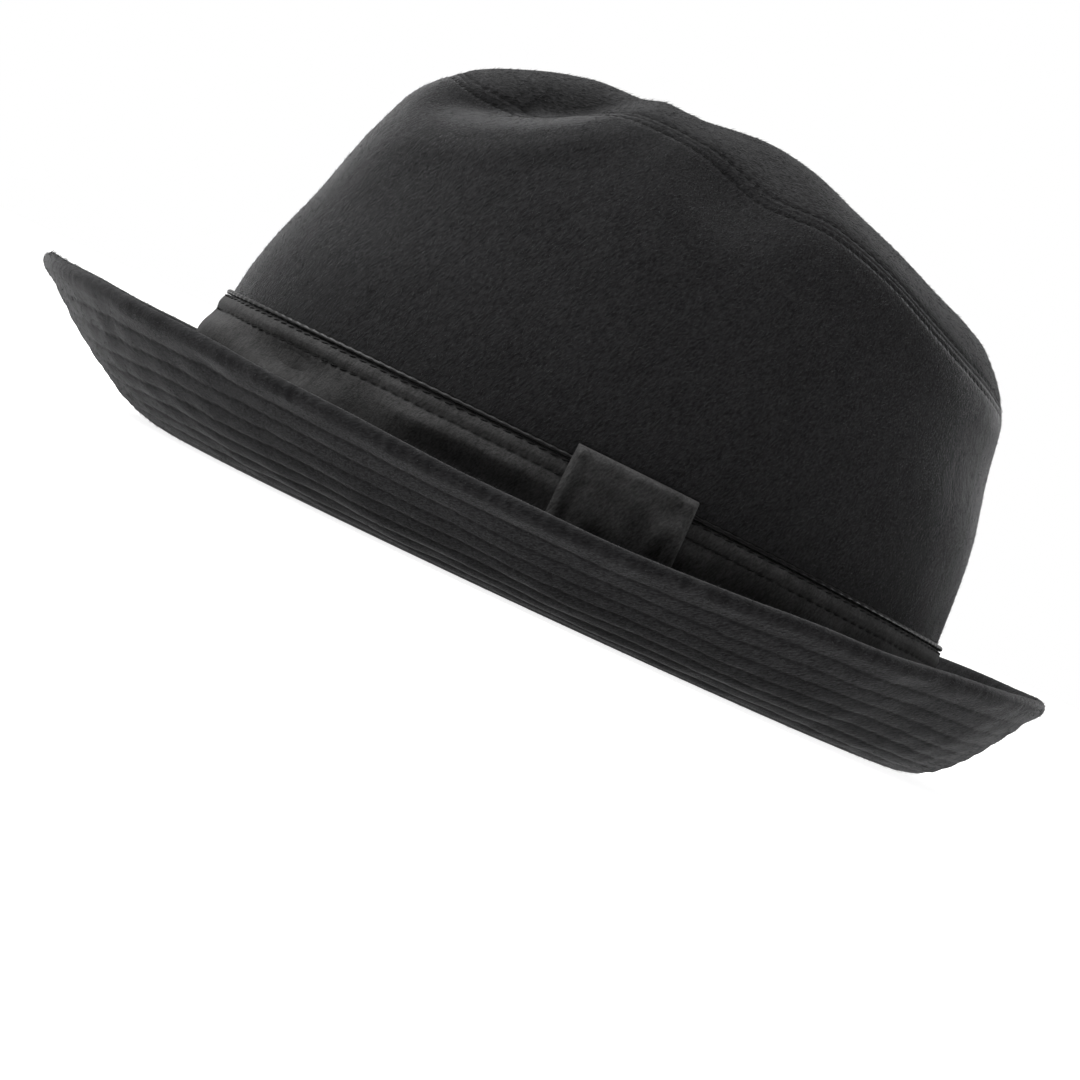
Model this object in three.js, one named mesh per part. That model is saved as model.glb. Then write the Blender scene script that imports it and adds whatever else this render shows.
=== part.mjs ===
// A soft fedora sewn from brushed wool cloth, with a leather band round the crown.
// Millimetres. The front of the hat faces -Y, the wearer's left is +X, up is +Z.
// The hat rests on the flat foot of its brim at z = 0.
// Angles run round the hat in degrees: 0 front, 90 left, 180 back, 270 right.
import * as THREE from 'three';
import { LoftGeometry } from 'three/addons/geometries/LoftGeometry.js';

// Cloth and head size
const HEAD_HALF_LENGTH = 107;
const HEAD_HALF_WIDTH = 86.5;
const CLOTH = 2;
const GAP = 0.3;
const ROUND_STEPS = 64;

// Brim: the shares run from the rim inwards
const BRIM_THICKNESS = 3;
const BRIM_FOOT_INSIDE = 6;
const STITCH_ROWS = 8;
const RIM_SHARE = 0.15;
const ROW_SHARE = 0.106;
const ROW_DEPTH = 0.3;

// Leather trim
const BAND_THICKNESS = 1.2;
const PIPING_HEIGHT = 1.6;
const PIPING_DEPTH = 1.4;
const LOOP_THICKNESS = 1.4;
const LOOP_ABOVE_PIPING = 3;
const LOOP_FRONT = 82.2;
const LOOP_BACK = 100.7;
const LOOP_STEPS = 6;

// Front pinch: a hollow on each side of the crown's front, in degrees and mm past the seam
const PINCH = { angle: 27, past: 22, halfAngle: 37.5, halfPast: 42, full: 0.55 };
const PINCH_SQUEEZE = 0.42;
const PINCH_DROP = 6;
const PINCH_RIDGE = { from: 3, to: 34 };
const PINCH_LIP = { height: 1.6, at: 1.08, width: 0.1 };

// Soft dent under the seam, half way along each side
const SIDE_DENT = { angle: 83, past: -7, halfAngle: 14, halfPast: 13, depth: 3.2 };

// Crease along the middle of the crown's tip
const CREASE = { depth: 13, halfWidth: 17, start: -44, full: 6, fades: 44, ends: 90 };

// Share of the way from the seam to the middle at which the tip reaches its full height:
// the roof of the pinched front keeps rising to its ridge, the lobes behind it are round
const TIP_SHOULDER = { front: 0.98, frontAngle: 42, lobe: 0.46, lobeAngle: 66 };
// Within this half width of its ends the tip follows the ridge line itself
const TIP_END_HALF_WIDTH = 34;
// The middle line of the tip is shorter than the seam by this share
const SPINE_SHARE = 0.72;

// The seam between the crown's side and its tip, as it runs before the pinch and the dents
const SEAM = [
  { angle: 0, side: 0, along: -77, height: 119 },
  { angle: 15, side: 14, along: -74, height: 119.5 },
  { angle: 30, side: 27, along: -64, height: 121.5 },
  { angle: 45, side: 42, along: -48.5, height: 123 },
  { angle: 60, side: 50, along: -31, height: 126 },
  { angle: 75, side: 56, along: -13, height: 125.6 },
  { angle: 90, side: 60, along: 6, height: 119.8 },
  { angle: 105, side: 61, along: 25, height: 120.4 },
  { angle: 120, side: 59, along: 44, height: 116 },
  { angle: 135, side: 53, along: 61, height: 109.6 },
  { angle: 150, side: 41, along: 76, height: 104.8 },
  { angle: 165, side: 22, along: 90, height: 101.3 },
  { angle: 180, side: 0, along: 96.5, height: 100.3 },
];

// The highest line of the crown seen from the side
const RIDGE = [
  { along: -77, height: 119 },
  { along: -72, height: 122 },
  { along: -62, height: 126.3 },
  { along: -52, height: 130 },
  { along: -42, height: 132.8 },
  { along: -31, height: 134.7 },
  { along: -22, height: 133.2 },
  { along: -14, height: 133.2 },
  { along: -6, height: 134.4 },
  { along: 2, height: 135 },
  { along: 17, height: 133 },
  { along: 32, height: 128.4 },
  { along: 48, height: 123.1 },
  { along: 63, height: 118.6 },
  { along: 74, height: 115.4 },
  { along: 83, height: 112 },
  { along: 92, height: 104.4 },
  { along: 97, height: 99.8 },
];

// The share of its lean that the side wall has made at each share of its rise
const WALL = [
  { rise: 0, front: 0, flank: 0, back: 0 },
  { rise: 0.3, front: 0.03, flank: 0.07, back: 0.12 },
  { rise: 0.5, front: 0.19, flank: 0.22, back: 0.26 },
  { rise: 0.62, front: 0.35, flank: 0.34, back: 0.38 },
  { rise: 0.83, front: 0.58, flank: 0.6, back: 0.8 },
  { rise: 0.92, front: 0.74, flank: 0.78, back: 0.92 },
  { rise: 1, front: 1, flank: 1, back: 1 },
];

// The brim's rim, with how far the brim runs out and lifts before it turns up
const RIM = [
  { angle: 0, side: 0, along: -155.2, height: 30, flat: 20, lift: 1.4 },
  { angle: 30, side: 60, along: -135, height: 28.8, flat: 20, lift: 1.4 },
  { angle: 60, side: 104, along: -81, height: 26, flat: 18, lift: 0.6 },
  { angle: 90, side: 121, along: -8, height: 24.3, flat: 17, lift: 0 },
  { angle: 120, side: 105, along: 63, height: 28, flat: 17, lift: 0 },
  { angle: 150, side: 61, along: 118, height: 32.6, flat: 18, lift: 0 },
  { angle: 180, side: 0, along: 138.5, height: 34.2, flat: 18, lift: 0 },
];

// The top edge of the leather band, without its piping
const BAND_TOP = [
  { angle: 0, height: 39.8 },
  { angle: 90, height: 37.8 },
  { angle: 180, height: 33.4 },
];

// The rows of points up the crown's wall and over its tip
const SIDE_OUTSIDE = [0, 0.16, 0.32, 0.45, 0.56, 0.66, 0.74, 0.8, 0.85, 0.9, 0.95, 1];
const SIDE_INSIDE = [0, 0.32, 0.56, 0.7, 0.8, 0.86, 0.93, 1];
const TIP_OUTSIDE = [0, 0.08, 0.18, 0.3, 0.44, 0.58, 0.72, 0.86, 1];
const TIP_INSIDE = [0, 0.1, 0.25, 0.44, 0.62, 0.82, 1];

const smooth = (value, from, to) => THREE.MathUtils.smoothstep(value, from, to);

function foldAngle(angle) {
  const turn = THREE.MathUtils.euclideanModulo(angle, 360);
  return turn > 180 ? 360 - turn : turn;
}

function sideOf(angle) {
  return THREE.MathUtils.euclideanModulo(angle, 360) > 180 ? -1 : 1;
}

// A smooth line through one column of a table, read at a value of its key column.
// level ends it flat, as where a height meets its own mirror image.
function readTable(table, key, column, value, level = false) {
  const last = table.length - 1;
  const at = THREE.MathUtils.clamp(value, table[0][key], table[last][key]);
  let row = 0;
  while (row < last - 1 && at > table[row + 1][key]) row += 1;
  const chord = (index) => (
    (table[index + 1][column] - table[index][column]) / (table[index + 1][key] - table[index][key])
  );
  const slope = (index) => {
    if (index === 0 || index === last) return level ? 0 : chord(Math.min(index, last - 1));
    const share = (table[index][key] - table[index - 1][key]) / (table[index + 1][key] - table[index - 1][key]);
    return THREE.MathUtils.lerp(chord(index - 1), chord(index), share);
  };
  const [start, end] = [table[row], table[row + 1]];
  const span = end[key] - start[key];
  const t = (at - start[key]) / span;
  const rise = t * t * (3 - 2 * t);
  const leave = t * (1 - t) * (1 - t) * span * slope(row);
  const arrive = t * t * (t - 1) * span * slope(row + 1);
  return THREE.MathUtils.lerp(start[column], end[column], rise) + leave + arrive;
}

function footPoint(angle) {
  const turn = THREE.MathUtils.degToRad(angle);
  return new THREE.Vector3(HEAD_HALF_WIDTH * Math.sin(turn), -HEAD_HALF_LENGTH * Math.cos(turn), 0);
}

function seamPoint(angle) {
  const folded = foldAngle(angle);
  return new THREE.Vector3(
    sideOf(angle) * readTable(SEAM, 'angle', 'side', folded),
    readTable(SEAM, 'angle', 'along', folded, true),
    readTable(SEAM, 'angle', 'height', folded, true),
  );
}

// The point of the hat's middle line that a point of the seam runs to over the tip
function spinePoint(angle) {
  const seam = seamPoint(angle);
  return new THREE.Vector3(0, seam.y * SPINE_SHARE, seam.z);
}

// Presses the front pinch and the side dent into a point of the crown.
// past is how far the point lies beyond the seam, below nought on the side wall.
function pressDents(point, angle, past) {
  const folded = foldAngle(angle);
  const fromPinch = Math.hypot(
    (folded - PINCH.angle) / PINCH.halfAngle,
    (past - PINCH.past) / PINCH.halfPast,
  );
  const offRidge = smooth(Math.abs(point.x), PINCH_RIDGE.from, PINCH_RIDGE.to);
  const pinch = (1 - smooth(fromPinch, PINCH.full, 1)) * offRidge;
  const lip = PINCH_LIP.height * offRidge
    * Math.exp(-(((fromPinch - PINCH_LIP.at) / PINCH_LIP.width) ** 2));
  const fromDent = Math.hypot(
    (folded - SIDE_DENT.angle) / SIDE_DENT.halfAngle,
    (past - SIDE_DENT.past) / SIDE_DENT.halfPast,
  );
  const dent = SIDE_DENT.depth * (1 - smooth(fromDent, 0, 1));
  point.x *= 1 - PINCH_SQUEEZE * pinch;
  point.x += sideOf(angle) * (lip - dent);
  point.z -= PINCH_DROP * pinch;
  return point;
}

// A point of the crown's side wall: rise runs from 0 at the floor to 1 at the seam
function sidePoint(angle, rise) {
  const foot = footPoint(angle);
  const seam = seamPoint(angle);
  const folded = foldAngle(angle);
  const toSide = Math.sin(THREE.MathUtils.degToRad(folded)) ** 2;
  const end = folded < 90 ? 'front' : 'back';
  const lean = THREE.MathUtils.lerp(
    readTable(WALL, 'rise', end, rise),
    readTable(WALL, 'rise', 'flank', rise),
    toSide,
  );
  const point = new THREE.Vector3(
    THREE.MathUtils.lerp(foot.x, seam.x, lean),
    THREE.MathUtils.lerp(foot.y, seam.y, lean),
    seam.z * rise,
  );
  return pressDents(point, angle, (rise - 1) * seam.z);
}

// A point of the crown's tip: reach runs from 0 at the seam to 1 on the hat's middle line
function tipPoint(angle, reach) {
  const seam = seamPoint(angle);
  const spine = spinePoint(angle);
  const point = seam.clone().lerp(spine, reach);
  const ridge = readTable(RIDGE, 'along', 'height', point.y);
  const behind = smooth(foldAngle(angle), TIP_SHOULDER.frontAngle, TIP_SHOULDER.lobeAngle);
  const shoulder = THREE.MathUtils.lerp(TIP_SHOULDER.front, TIP_SHOULDER.lobe, behind);
  const rounded = Math.sin((Math.PI / 2) * Math.min(1, reach / shoulder));
  const hump = THREE.MathUtils.lerp(1, rounded, Math.min(1, Math.abs(seam.x) / TIP_END_HALF_WIDTH));
  const crease = CREASE.depth
    * smooth(point.y, CREASE.start, CREASE.full)
    * (1 - smooth(point.y, CREASE.fades, CREASE.ends))
    * Math.exp(-((point.x / CREASE.halfWidth) ** 2));
  point.z += (ridge - seam.z) * hump - crease;
  return pressDents(point, angle, reach * seam.distanceTo(spine));
}

// A point of the whole crown: way runs from 0 at the floor over 1 at the seam to 2 on the middle line
function crownPoint(angle, way) {
  return way <= 1 ? sidePoint(angle, way) : tipPoint(angle, way - 1);
}

// The point inside the crown's cloth by its thickness, along the cloth's own normal
function liningPoint(angle, way) {
  const aside = 0.5;
  const part = 0.02;
  const around = crownPoint(angle + aside, way).sub(crownPoint(angle - aside, way));
  const up = crownPoint(angle, Math.min(2, way + part)).sub(crownPoint(angle, way - part));
  const normal = around.cross(up).normalize();
  return crownPoint(angle, way).addScaledVector(normal, -CLOTH);
}

function ring(pointAt) {
  return Array.from({ length: ROUND_STEPS }, (_, step) => pointAt((360 * step) / ROUND_STEPS));
}

// A wall that closes on itself: rings up its outside and down its inside
function ringWall(rings) {
  return new LoftGeometry([...rings, rings[0]], { closed: true });
}

function namedMesh(name, geometry, color, roughness) {
  const material = new THREE.MeshStandardMaterial({ color, roughness, metalness: 0 });
  const mesh = new THREE.Mesh(geometry, material);
  mesh.name = name;
  return mesh;
}

function crownSide() {
  const foot = BRIM_THICKNESS + GAP;
  const wayAt = (angle, share) => {
    const height = seamPoint(angle).z;
    return THREE.MathUtils.lerp(foot, height - GAP / 2, share) / height;
  };
  const outside = SIDE_OUTSIDE.map((share) => ring((angle) => crownPoint(angle, wayAt(angle, share))));
  const inside = SIDE_INSIDE.map((share) => ring((angle) => liningPoint(angle, wayAt(angle, share))));
  inside[0].forEach((point) => point.setZ(foot));
  return ringWall([...outside, ...inside.reverse()]);
}

function crownTip() {
  const edge = (angle) => GAP / seamPoint(angle).distanceTo(spinePoint(angle));
  const wayAt = (angle, reach) => 1 + Math.max(reach, edge(angle));
  const outside = TIP_OUTSIDE.map((reach) => ring((angle) => crownPoint(angle, wayAt(angle, reach))));
  const inside = TIP_INSIDE.map((reach) => ring((angle) => liningPoint(angle, wayAt(angle, reach))));
  inside[inside.length - 1].forEach((point) => point.setX(0));
  return new LoftGeometry([...inside.reverse(), ...outside], { closed: true });
}

// A point of the brim's underside, share 0 at the rim and 1 at the crown, with its normal.
// The curve is a parabola that leaves the crown nearly flat and bends up to the rim.
function brimPoint(angle, share) {
  const folded = foldAngle(angle);
  const foot = footPoint(angle);
  const out = new THREE.Vector3(
    sideOf(angle) * readTable(RIM, 'angle', 'side', folded),
    readTable(RIM, 'angle', 'along', folded, true),
    0,
  ).sub(foot);
  const reach = out.length();
  const height = readTable(RIM, 'angle', 'height', folded, true) - BRIM_THICKNESS / 2;
  const flat = readTable(RIM, 'angle', 'flat', folded, true);
  const lift = readTable(RIM, 'angle', 'lift', folded, true);
  const slow = 2 * flat;
  const fast = 2 * Math.hypot(reach - flat, height - lift);
  const covered = 1 - share;
  const t = (Math.sqrt(slow ** 2 + (fast ** 2 - slow ** 2) * covered) - slow) / (fast - slow);
  const runOut = 2 * t * (1 - t) * flat + t * t * reach;
  const runSpeed = 2 * (1 - 2 * t) * flat + 2 * t * reach;
  const riseSpeed = 2 * (1 - 2 * t) * lift + 2 * t * height;
  const speed = Math.hypot(runSpeed, riseSpeed);
  out.divideScalar(reach);
  const riseUp = 2 * t * (1 - t) * lift + t * t * height;
  const point = foot.addScaledVector(out, runOut).setZ(riseUp);
  const normal = out.clone().multiplyScalar(-riseSpeed / speed).setZ(runSpeed / speed);
  return { point, normal, out };
}

function brim() {
  const rows = Array.from({ length: STITCH_ROWS }, (_, row) => RIM_SHARE + row * ROW_SHARE);
  const profile = [{ share: RIM_SHARE / 2, sink: 0 }];
  for (const share of rows) {
    profile.push({ share, sink: ROW_DEPTH });
    profile.push({ share: share + ROW_SHARE / 2, sink: 0 });
  }
  const faceRing = ({ share, sink }, height) => ring((angle) => {
    const { point, normal } = brimPoint(angle, share);
    return point.addScaledVector(normal, height > 0 ? height - sink : sink);
  });
  const rimRing = (turn) => ring((angle) => {
    const { point, normal, out } = brimPoint(angle, 0);
    const along = out.clone().multiplyScalar(normal.z).setZ(Math.hypot(normal.x, normal.y));
    const half = BRIM_THICKNESS / 2;
    point.addScaledVector(normal, half - half * Math.cos(turn));
    return point.addScaledVector(along, half * Math.sin(turn) - half);
  });
  const footRing = (inside, height) => ring((angle) => {
    const { point, out } = brimPoint(angle, 1);
    return point.addScaledVector(out, -inside).setZ(height);
  });
  const under = [...profile].reverse().map((row) => faceRing(row, 0));
  const over = profile.map((row) => faceRing(row, BRIM_THICKNESS));
  return ringWall([
    footRing(BRIM_FOOT_INSIDE, 0),
    footRing(0, 0),
    ...under,
    rimRing(0),
    rimRing(Math.PI / 4),
    rimRing(Math.PI / 2),
    rimRing((3 * Math.PI) / 4),
    rimRing(Math.PI),
    ...over,
    footRing(0, BRIM_THICKNESS),
    footRing(BRIM_FOOT_INSIDE, BRIM_THICKNESS),
  ]);
}

function bandTopAt(angle) {
  return readTable(BAND_TOP, 'angle', 'height', foldAngle(angle), true);
}

// A point off the crown's wall by a distance, at a height
function offWall(angle, height, distance) {
  const rise = height / seamPoint(angle).z;
  const turn = THREE.MathUtils.degToRad(angle);
  const out = new THREE.Vector3(
    Math.sin(turn) / HEAD_HALF_WIDTH,
    -Math.cos(turn) / HEAD_HALF_LENGTH,
    0,
  ).normalize();
  return sidePoint(angle, rise).addScaledVector(out, distance);
}

function hatBand() {
  const foot = BRIM_THICKNESS + 2 * GAP;
  const outer = GAP + BAND_THICKNESS;
  return ringWall([
    ring((angle) => offWall(angle, foot, outer)),
    ring((angle) => offWall(angle, bandTopAt(angle) / 2, outer)),
    ring((angle) => offWall(angle, bandTopAt(angle), outer)),
    ring((angle) => offWall(angle, bandTopAt(angle), GAP)),
    ring((angle) => offWall(angle, bandTopAt(angle) / 2, GAP)),
    ring((angle) => offWall(angle, foot, GAP)),
  ]);
}

// The folded leather edge on top of the band, a bead with a flat back
function bandPiping() {
  const corner = PIPING_HEIGHT / 4;
  const profile = [
    { out: GAP, up: 0 },
    { out: GAP + PIPING_DEPTH - corner, up: 0 },
    { out: GAP + PIPING_DEPTH, up: PIPING_HEIGHT / 2 },
    { out: GAP + PIPING_DEPTH - corner, up: PIPING_HEIGHT },
    { out: GAP, up: PIPING_HEIGHT },
  ];
  return ringWall(profile.map(({ out, up }) => ring((angle) => (
    offWall(angle, bandTopAt(angle) + GAP + up, out)
  ))));
}

// The loop on the wearer's left: a plate over the band, turned in above the piping
function bandLoop() {
  const inner = PIPING_DEPTH + 2 * GAP;
  const outer = inner + LOOP_THICKNESS;
  const foot = BRIM_THICKNESS + 2 * GAP;
  const sections = [];
  for (let step = 0; step <= LOOP_STEPS; step += 1) {
    const angle = THREE.MathUtils.lerp(LOOP_FRONT, LOOP_BACK, step / LOOP_STEPS);
    const top = bandTopAt(angle) + GAP + PIPING_HEIGHT + LOOP_ABOVE_PIPING;
    const turnIn = top - LOOP_THICKNESS;
    const middle = bandTopAt(angle) / 2;
    sections.push([
      offWall(angle, foot, inner),
      offWall(angle, middle, inner),
      offWall(angle, turnIn, inner),
      offWall(angle, turnIn, GAP),
      offWall(angle, top, GAP),
      offWall(angle, top, outer - LOOP_THICKNESS / 2),
      offWall(angle, top - LOOP_THICKNESS / 2, outer),
      offWall(angle, middle, outer),
      offWall(angle, foot, outer),
    ]);
  }
  return new LoftGeometry(sections, { closed: true, capStart: true, capEnd: true });
}

const hat = new THREE.Group();
hat.add(
  namedMesh('crown_side', crownSide(), '#2b2b2d', 0.95),
  namedMesh('crown_tip', crownTip(), '#2e2e30', 0.95),
  namedMesh('brim', brim(), '#2c2c2e', 0.95),
  namedMesh('hat_band', hatBand(), '#2a2a2b', 0.6),
  namedMesh('band_piping', bandPiping(), '#1d1d1e', 0.4),
  namedMesh('band_loop', bandLoop(), '#2c2c2d', 0.6),
);

// The brim reaches further forward than back, so the hat is moved to stand centred on the origin
const whole = new THREE.Box3().setFromObject(hat);
hat.position.y = -(whole.min.y + whole.max.y) / 2;

export default hat;
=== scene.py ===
# %% [markdown]
# # A soft wool fedora with a leather band
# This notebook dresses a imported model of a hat. The model gives the pieces, their sizes and their places.
# Each cell below makes one piece or one finish, and the markdown before it says what that piece is on the
# real hat, how it could be made, and why this way was chosen.
#
# The hat has a crown of two pieces of brushed wool cloth, a quilted brim, and a leather band with a piping
# on its top edge and a loop on the wearer's left. The front faces -Y, the wearer's left is +X, up is +Z.

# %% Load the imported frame
import math

import bmesh
import bpy
import numpy as np
from mathutils import Matrix, Vector


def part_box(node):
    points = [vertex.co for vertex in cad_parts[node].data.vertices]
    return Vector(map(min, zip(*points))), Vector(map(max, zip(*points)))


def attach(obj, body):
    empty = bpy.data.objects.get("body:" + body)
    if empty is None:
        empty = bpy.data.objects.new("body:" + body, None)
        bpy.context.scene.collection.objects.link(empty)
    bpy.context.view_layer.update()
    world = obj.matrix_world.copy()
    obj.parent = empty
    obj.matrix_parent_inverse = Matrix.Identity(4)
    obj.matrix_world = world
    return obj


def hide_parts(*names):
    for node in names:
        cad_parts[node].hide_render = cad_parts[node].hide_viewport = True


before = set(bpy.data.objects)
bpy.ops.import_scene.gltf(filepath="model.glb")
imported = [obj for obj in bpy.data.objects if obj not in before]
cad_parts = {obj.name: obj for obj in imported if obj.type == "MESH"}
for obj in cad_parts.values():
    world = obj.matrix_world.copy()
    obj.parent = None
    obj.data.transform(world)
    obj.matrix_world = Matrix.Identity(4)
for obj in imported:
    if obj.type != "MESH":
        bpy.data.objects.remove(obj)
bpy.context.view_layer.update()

# %% [markdown]
# ## Sizes and where the crown stands
# Blender works in metres, but a hat maker thinks in millimetres. So every shape is worked out in
# millimetres, round the middle of the crown, and is scaled and moved as it goes into its mesh. The brim
# reaches further forward than back, so the middle of the crown isn't the middle of the hat. It is read
# from the box of the crown's side.

# %% Sizes and the crown's middle
MM = 0.001
crown_low, crown_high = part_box("crown_side")
CROWN_MIDDLE = np.array([0, (crown_low.y + crown_high.y) / 2, 0])
print("middle of the crown at y =", round(CROWN_MIDDLE[1] / MM, 1), "mm")

# %% [markdown]
# ## Tables that are read as smooth lines
# The shape of the hat is held in short tables: a row for each direction round the hat, a column for each
# size. To get a smooth hat, a column is read with a cubic between each two rows, which passes through the
# rows' values with slopes taken from their neighbours. numpy reads a whole grid of places at once.

# %% Read a table smoothly
def table(columns, *rows):
    """A table as a dictionary: each named column is one numpy array."""
    return dict(zip(columns.split(), np.array(rows, float).T))


def read_table(rows, key, column, at, level=False):
    """One column as a smooth line. Between two rows it is the cubic with the rows' values and slopes. A row's
    slope is the mean of the straight slopes before and after it, the nearer neighbour counting more. level
    ends the line flat, as where a height meets its own mirror image."""
    keys, values = rows[key], rows[column]
    width = np.diff(keys)
    chord = np.diff(values) / width
    share = width[:-1] / (width[:-1] + width[1:])
    slope = np.zeros_like(values)
    slope[1:-1] = chord[:-1] + (chord[1:] - chord[:-1]) * share
    if not level:
        slope[0], slope[-1] = chord[0], chord[-1]
    at = np.clip(at, keys[0], keys[-1])
    row = np.clip(np.searchsorted(keys, at) - 1, 0, len(width) - 1)
    t = (at - keys[row]) / width[row]
    rise = t * t * (3 - 2 * t)
    leave = t * (1 - t) ** 2 * width[row] * slope[row]
    arrive = t * t * (t - 1) * width[row] * slope[row + 1]
    return values[row] + (values[row + 1] - values[row]) * rise + leave + arrive


bow = table("along height", (0, 0), (1, 1), (2, 0))
quarter = float(read_table(bow, "along", "height", 0.5))
print("a line through the heights 0, 1 and 0 is at", quarter, "after a quarter of its way")

# %% [markdown]
# Nearly all relief on the hat is made of two curves. An S leads evenly from one value to another, and a
# bell is a soft ridge, or a furrow where its height is below nought. Both sides of the hat are alike, so
# the directions round it are folded onto one half, from the front at 0 degrees to the back at 180.

# %% Steps, bells and the fold
def smooth(value, low, high):
    """0 below low, 1 above high, and an even S between them."""
    t = np.clip((value - low) / (high - low), 0, 1)
    return t * t * (3 - 2 * t)


def bell(value, middle, half_width):
    """1 in the middle. It falls as e to the power of minus the square of the way, in half widths."""
    return np.exp(-(((value - middle) / half_width) ** 2))


def bells(value, rows):
    """A sum of bells. Each row gives a middle, a half width and a height."""
    return sum(height * bell(value, middle, half_width) for middle, half_width, height in rows)


def fold(angle):
    """An angle beyond 180 degrees is read as its mirror image."""
    turn = np.mod(angle, 360)
    return np.where(turn > 180, 360 - turn, turn)


def side_of(angle):
    """1 on the wearer's left and -1 on the right."""
    return np.where(np.mod(angle, 360) > 180, -1.0, 1.0)


print("270 degrees is read as", float(fold(270)), "on the side", float(side_of(270)))

# %% [markdown]
# ## The shape of the crown
# The crown is sewn from a side band and an oval tip. Three lines rule it: the oval of its foot, the seam
# between the side and the tip, and the ridge, which is the outline seen from the side. Then hands press
# dents into it: the pinch on each side of the front, a crease along the tip and a soft dent under the seam.
# Sculpting could do this, but a formula gives the same crown each time and lets the seam, the band and the
# stitches follow it.

# %% Tables of the crown
SEAM = table(
    "angle side along height",
    (0, 0, -77, 119),
    (15, 14, -74, 119.5),
    (30, 27, -64, 121.5),
    (45, 42, -48.5, 123),
    (60, 50, -31, 126),
    (75, 56, -13, 125.6),
    (90, 60, 6, 119.8),
    (105, 61, 25, 120.4),
    (120, 59, 44, 116),
    (135, 53, 61, 109.6),
    (150, 41, 76, 104.8),
    (165, 22, 90, 101.3),
    (180, 0, 96.5, 100.3),
)
RIDGE = table(
    "along height",
    (-77, 119), (-72, 122), (-62, 126.3), (-52, 130), (-42, 132.8), (-31, 134.7),
    (-22, 133.2), (-14, 133.2), (-6, 134.4), (2, 135), (17, 133), (32, 128.4),
    (48, 123.1), (63, 118.6), (74, 115.4), (83, 112), (92, 104.4), (97, 99.8),
)
WALL = table(
    "rise front flank back",
    (0, 0, 0, 0),
    (0.3, 0.03, 0.07, 0.12),
    (0.5, 0.19, 0.22, 0.26),
    (0.62, 0.35, 0.34, 0.38),
    (0.83, 0.58, 0.6, 0.8),
    (0.92, 0.74, 0.78, 0.92),
    (1, 1, 1, 1),
)
PINCH = {"angle": 27, "past": 22, "half_angle": 37.5, "half_past": 42, "full": 0.55}
PINCH_SQUEEZE = 0.42
PINCH_DROP = 6
PINCH_RIDGE = {"from": 3, "to": 34}
PINCH_LIP = {"height": 1.5, "at": 1.1, "width": 0.13}
SIDE_DENT = {"angle": 83, "past": -7, "half_angle": 14, "half_past": 13, "depth": 3.2}
CREASE = {"depth": 13, "half_width": 17, "start": -44, "full": 6, "fades": 44, "ends": 90}
TIP_SHOULDER = {"front": 0.98, "front_angle": 42, "lobe": 0.46, "lobe_angle": 66}
TIP_END_HALF_WIDTH = 34
SPINE_SHARE = 0.72
print("the seam is read from", len(SEAM["angle"]), "rows, the ridge from", len(RIDGE["along"]))

# %% The foot, the seam and the middle line
FOOT_HALF_LENGTH = 107
FOOT_HALF_WIDTH = 86.5
ROUND_STEPS = 560


def foot_point(angle):
    """The oval of the crown's foot: an ellipse, started at the front."""
    turn = np.radians(angle)
    return np.stack([FOOT_HALF_WIDTH * np.sin(turn), -FOOT_HALF_LENGTH * np.cos(turn), 0 * turn], -1)


def seam_point(angle):
    """The seam, mirrored from the table of one side."""
    folded = fold(angle)
    side = side_of(angle) * read_table(SEAM, "angle", "side", folded)
    along = read_table(SEAM, "angle", "along", folded, level=True)
    height = read_table(SEAM, "angle", "height", folded, level=True)
    return np.stack([side, along, height], -1)


def spine_point(angle):
    """The point of the middle line that a point of the seam runs to over the tip."""
    seam = seam_point(angle)
    return np.stack([0 * seam[..., 0], seam[..., 1] * SPINE_SHARE, seam[..., 2]], -1)


angles = np.arange(ROUND_STEPS) * 360 / ROUND_STEPS
print("the seam's highest point is at", round(float(seam_point(angles)[:, 2].max()), 1), "mm")

# %% [markdown]
# The dents are what hands leave in a soft hat. Two fingers and a thumb pinch the front on both sides, and
# the cloth they push aside stands up in a lip round the hollow. A softer dent lies under the seam. Sculpt
# brushes could press them, but a formula moves the seam, the threads and the nap along with the cloth.

# %% Press the dents
def press_dents(point, angle, past):
    """Each dent is an oval patch in the angle and in the way past the seam. The pinch pulls its patch towards
    the middle and down and raises a lip round its edge, the side dent pushes its patch in."""
    folded = fold(angle)
    from_pinch = np.hypot(
        (folded - PINCH["angle"]) / PINCH["half_angle"],
        (past - PINCH["past"]) / PINCH["half_past"],
    )
    from_dent = np.hypot(
        (folded - SIDE_DENT["angle"]) / SIDE_DENT["half_angle"],
        (past - SIDE_DENT["past"]) / SIDE_DENT["half_past"],
    )
    off_ridge = smooth(np.abs(point[..., 0]), PINCH_RIDGE["from"], PINCH_RIDGE["to"])
    pinch = (1 - smooth(from_pinch, PINCH["full"], 1)) * off_ridge
    lip = PINCH_LIP["height"] * off_ridge * bell(from_pinch, PINCH_LIP["at"], PINCH_LIP["width"])
    dent = SIDE_DENT["depth"] * (1 - smooth(from_dent, 0, 1))
    x = point[..., 0] * (1 - PINCH_SQUEEZE * pinch) + side_of(angle) * (lip - dent)
    return np.stack([x, point[..., 1], point[..., 2] - PINCH_DROP * pinch], -1)


flat_seam = seam_point(angles)
pressed = np.linalg.norm(press_dents(flat_seam, angles, 0 * angles) - flat_seam, axis=-1)
print("the dents move the seam by up to", round(float(pressed.max()), 1), "mm")

# %% [markdown]
# The wall of the real crown curves gently from its foot to the seam, and differently at the front, beside
# and at the back. The tip rises from the seam to the ridge. Each could be a lofted surface, but a table of
# leans and one of heights say the same in a few numbers, and any point can then be asked for.

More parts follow.
